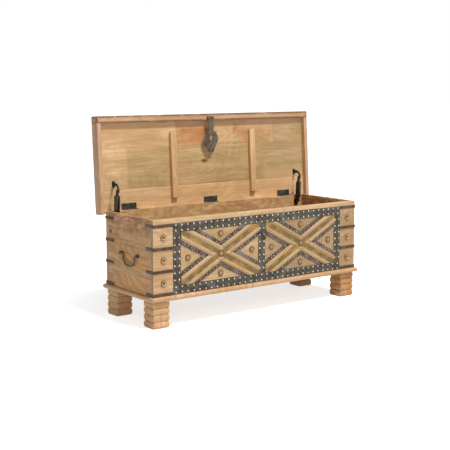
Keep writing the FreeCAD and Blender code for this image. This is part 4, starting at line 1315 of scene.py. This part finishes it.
def make_front_rim():
    sizes = bpy.context.scene.chest_sizes
    reach = sizes.rim_rubbed
    low, high = shut_box("lid_rim_front")

    def outer_edge(edge):
        spot = middle(edge)
        at_front, at_end = near(spot.y, low.y), near(abs(spot.x), high.x)
        flat = near(spot.z, low.z) or near(spot.z, high.z)
        return (flat and (at_front or at_end)) or (at_front and at_end)

    def worn(point, at_edge):
        return at_edge and (point.y < low.y + reach or abs(point.x) > high.x - reach)

    piece = board("rim_front", low, high, X, (-0.02, 0.1), {sizes.rim_round: outer_edge}, reach=reach,
                  worn=worn)
    settle(turn_open(piece), "lid", "lid_wood", finish("rim_wood"), "lid_rim_front")


def make_lid_end(side, way):
    """The rim and the batten of one end of the lid."""
    sizes = bpy.context.scene.chest_sizes
    reach = sizes.rim_rubbed
    tone = 0.02 if way < 0 else 0.1
    low, high = shut_box("lid_rim_" + side)
    outer = far_side(way, low.x, high.x)

    def outer_edge(edge):
        spot = middle(edge)
        return near(spot.x, outer) and (near(spot.z, low.z) or near(spot.z, high.z))

    piece = board("rim_" + side, low, high, Y, (tone, 0.05), {sizes.rim_round: outer_edge}, reach=reach,
                  worn=lambda point, at_edge: 0.4 * (at_edge and abs(point.x - outer) < reach))
    settle(turn_open(piece), "lid", "lid_wood", finish("rim_wood"), "lid_rim_" + side)

    low, high = shut_box("lid_batten_" + side)
    piece = board("batten_" + side, low, high, Y, (0.0, 0.1),
                  {sizes.batten_round: lambda edge: near(middle(edge).z, low.z)})
    settle(turn_open(piece), "lid", "lid_wood", finish("batten_wood"), "lid_batten_" + side)


def make_lid():
    make_planks()
    make_front_rim()
    for side, way in SIDES:
        make_lid_end(side, way)


def screw_blank():
    """A countersunk screw, slotted, with its head just under the plate's face."""
    sizes = bpy.context.scene.chest_sizes
    radius = sizes.screw_radius
    blank = turned("screw_blank", [(share * radius, height) for share, height in SCREW_RINGS], sides=20)
    cut_block(blank, Vector((-2 * radius, -sizes.screw_slot / 2, SLOT_FOOT)),
              Vector((2 * radius, sizes.screw_slot / 2, 2 * MM)))
    return blank


def make_hinges():
    plate = finish("hinge_plate")
    coat(plate, "hinge_body_leaves", "hinge_lid_leaves", "hinge_pins")
    for body, node, pose, pick, facing in (
            ("chest", "hinge_body_screws", Matrix.Identity(4), max, Matrix.Identity(4)),
            ("lid", "hinge_lid_screws", lid_turn(1), min, Matrix.Rotation(math.pi, 4, "X"))):
        places = []
        for low, high in solid_boxes(node):
            low, high = pose @ low, pose @ high
            places.append(Vector(((low.x + high.x) / 2, (low.y + high.y) / 2, pick(low.z, high.z))))
        piece = set_copies(screw_blank(), node.replace("screws", "screw_heads"), places, facing)
        if body == "lid":
            turn_open(piece)
        settle(smooth(piece), body, "gunmetal", plate, node)


def make_hasp():
    iron = finish("hasp_iron")
    coat(iron, "hasp_bracket", "hasp_pin", "staple")
    piece = smooth(eased_copy("hasp_plate", "hasp", bpy.context.scene.chest_sizes.hasp_ease))
    settle(piece, "hasp", "forged_iron", iron, "hasp_plate")


def make_handles():
    for side, _ in SIDES:
        coat(finish("handle_iron"), "handle_eyes_" + side, "handle_bail_" + side)


def make_stays():
    for side, _ in SIDES:
        for part in ("foot", "damper", "arm", "ear"):
            coat(finish("stay_black"), f"stay_{part}_{side}")


def lamp(name, spot, aim, size, power):
    data = bpy.data.lights.new(name, "AREA")
    data.shape = "DISK"
    data.size = size
    data.energy = power
    made = add_object(name, data)
    made.location = spot
    made.rotation_euler = (Vector(aim) - Vector(spot)).to_track_quat("-Z", "Y").to_euler()


def make_stage():
    scene = bpy.context.scene
    stage = scene.chest_stage
    white = (1.0, 1.0, 1.0, 1.0)
    scene.view_settings.view_transform = "Standard"

    data = bpy.data.cameras.new("view")
    data.lens = stage.camera_lens
    data.sensor_width = 36.0
    data.shift_y = stage.camera_rise
    data.clip_end = 100.0
    camera = add_object("view", data)
    camera.location = stage.camera_place
    camera.rotation_euler = (math.pi / 2 - stage.camera_pitch, 0.0, stage.camera_turn)
    scene.camera = camera

    lamp("key_lamp", stage.key_place, stage.key_aim, stage.key_size, stage.key_power)
    lamp("fill_lamp", stage.fill_place, stage.fill_aim, stage.fill_size, stage.fill_power)

    scene.world = bpy.data.worlds.new("white_room")
    bench = fresh_bench(scene.world)
    strength = bench.span(bench.seen(), 0.0, 1.0, stage.sky, 1.0)
    light = bench.value("ShaderNodeBackground", {"Color": white, "Strength": strength})
    bench.node("ShaderNodeOutputWorld", {"Surface": light})

    take()
    bpy.ops.mesh.primitive_plane_add(size=60.0)
    floor = started("floor")
    material = bpy.data.materials.new("floor_white")
    bench = fresh_bench(material)
    flat = bench.value("ShaderNodeBsdfDiffuse", {"Color": tinted(stage, "white")})
    away = bench.vector("LENGTH", {0: bench.here()}, "Value")
    glow = bench.seen() * bench.span(away, stage.floor_shade, stage.floor_white, stage.floor_lift, 1.0)
    lift = bench.value("ShaderNodeEmission", {"Color": white, "Strength": glow})
    both = bench.value("ShaderNodeAddShader", {0: flat, 1: lift})
    bench.node("ShaderNodeOutputMaterial", {"Surface": both})
    floor.data.materials.append(material)


# Operators
class CHEST_OT_stage(bpy.types.Operator):
    """Set the camera, lamps and floor"""
    bl_idname = "chest.stage"
    bl_label = "Stage"

    def execute(self, context):
        make_stage()
        return {"FINISHED"}


class CHEST_OT_walls(bpy.types.Operator):
    """Make the four walls and the floor of the box from boards"""
    bl_idname = "chest.walls"
    bl_label = "Walls"

    def execute(self, context):
        make_walls()
        return {"FINISHED"}


class CHEST_OT_plinth(bpy.types.Operator):
    """Make the mitred, bull-nosed plinth"""
    bl_idname = "chest.plinth"
    bl_label = "Plinth"

    def execute(self, context):
        make_plinth()
        return {"FINISHED"}


class CHEST_OT_legs(bpy.types.Operator):
    """Carve the four rolled legs"""
    bl_idname = "chest.legs"
    bl_label = "Legs"

    def execute(self, context):
        make_legs()
        return {"FINISHED"}


class CHEST_OT_corner_straps(bpy.types.Operator):
    """Bend the ribbed straps round the corners"""
    bl_idname = "chest.corner_straps"
    bl_label = "Corner straps"

    def execute(self, context):
        make_corner_straps()
        return {"FINISHED"}


class CHEST_OT_bands(bpy.types.Operator):
    """Beat the bands that frame the front"""
    bl_idname = "chest.bands"
    bl_label = "Bands"

    def execute(self, context):
        make_bands()
        return {"FINISHED"}


class CHEST_OT_nails(bpy.types.Operator):
    """Drive the bright nails into the bands"""
    bl_idname = "chest.nails"
    bl_label = "Nails"

    def execute(self, context):
        make_nails()
        return {"FINISHED"}


class CHEST_OT_cross_bars(bpy.types.Operator):
    """Lay the grooved cross bars"""
    bl_idname = "chest.cross_bars"
    bl_label = "Cross bars"

    def execute(self, context):
        make_cross_bars()
        return {"FINISHED"}


class CHEST_OT_sawteeth(bpy.types.Operator):
    """Lay the toothed strips and their tacks"""
    bl_idname = "chest.sawteeth"
    bl_label = "Toothed strips"

    def execute(self, context):
        make_sawteeth()
        return {"FINISHED"}


class CHEST_OT_studs(bpy.types.Operator):
    """Turn the wooden studs"""
    bl_idname = "chest.studs"
    bl_label = "Studs"

    def execute(self, context):
        make_studs()
        return {"FINISHED"}


class CHEST_OT_lid(bpy.types.Operator):
    """Make the lid's planks, rims and battens"""
    bl_idname = "chest.lid"
    bl_label = "Lid"

    def execute(self, context):
        make_lid()
        return {"FINISHED"}


class CHEST_OT_hinges(bpy.types.Operator):
    """Finish the hinges and set their screws"""
    bl_idname = "chest.hinges"
    bl_label = "Hinges"

    def execute(self, context):
        make_hinges()
        return {"FINISHED"}


class CHEST_OT_hasp(bpy.types.Operator):
    """Make the hasp and finish its staple"""
    bl_idname = "chest.hasp"
    bl_label = "Hasp"

    def execute(self, context):
        make_hasp()
        return {"FINISHED"}


class CHEST_OT_handles(bpy.types.Operator):
    """Finish the drop handles"""
    bl_idname = "chest.handles"
    bl_label = "Handles"

    def execute(self, context):
        make_handles()
        return {"FINISHED"}


class CHEST_OT_stays(bpy.types.Operator):
    """Finish the lid stays"""
    bl_idname = "chest.stays"
    bl_label = "Stays"

    def execute(self, context):
        make_stays()
        return {"FINISHED"}


OPERATORS = (CHEST_OT_stage, CHEST_OT_walls, CHEST_OT_plinth, CHEST_OT_legs, CHEST_OT_corner_straps,
             CHEST_OT_bands, CHEST_OT_nails, CHEST_OT_cross_bars, CHEST_OT_sawteeth, CHEST_OT_studs,
             CHEST_OT_lid, CHEST_OT_hinges, CHEST_OT_hasp, CHEST_OT_handles, CHEST_OT_stays)
SETTINGS = {"chest_woods": ChestWoods, "chest_irons": ChestIrons, "chest_sizes": ChestSizes,
            "chest_stage": ChestStage}


class CHEST_PT_panel(bpy.types.Panel):
    """The chest's sizes, colours and pieces"""
    bl_idname = "CHEST_PT_panel"
    bl_label = "Iron-bound chest"
    bl_space_type = "VIEW_3D"
    bl_region_type = "UI"
    bl_category = "Chest"

    def draw(self, context):
        for key, kind in SETTINGS.items():
            box = self.layout.box()
            for name in kind.__annotations__:
                box.prop(getattr(context.scene, key), name)
        for operator in OPERATORS:
            self.layout.operator(operator.bl_idname)


CLASSES = (*SETTINGS.values(), *OPERATORS, CHEST_PT_panel)


def register():
    for kind in CLASSES:
        bpy.utils.register_class(kind)
    for key, kind in SETTINGS.items():
        setattr(bpy.types.Scene, key, bpy.props.PointerProperty(type=kind))


def unregister():
    for key in SETTINGS:
        delattr(bpy.types.Scene, key)
    for kind in reversed(CLASSES):
        bpy.utils.unregister_class(kind)


def main():
    register()
    bpy.ops.chest.stage()
    bpy.ops.chest.walls()
    bpy.ops.chest.plinth()
    bpy.ops.chest.legs()
    bpy.ops.chest.corner_straps()
    bpy.ops.chest.bands()
    bpy.ops.chest.nails()
    bpy.ops.chest.cross_bars()
    bpy.ops.chest.sawteeth()
    bpy.ops.chest.studs()
    bpy.ops.chest.lid()
    bpy.ops.chest.hinges()
    bpy.ops.chest.hasp()
    bpy.ops.chest.handles()
    bpy.ops.chest.stays()


if __name__ == "__main__":
    main()
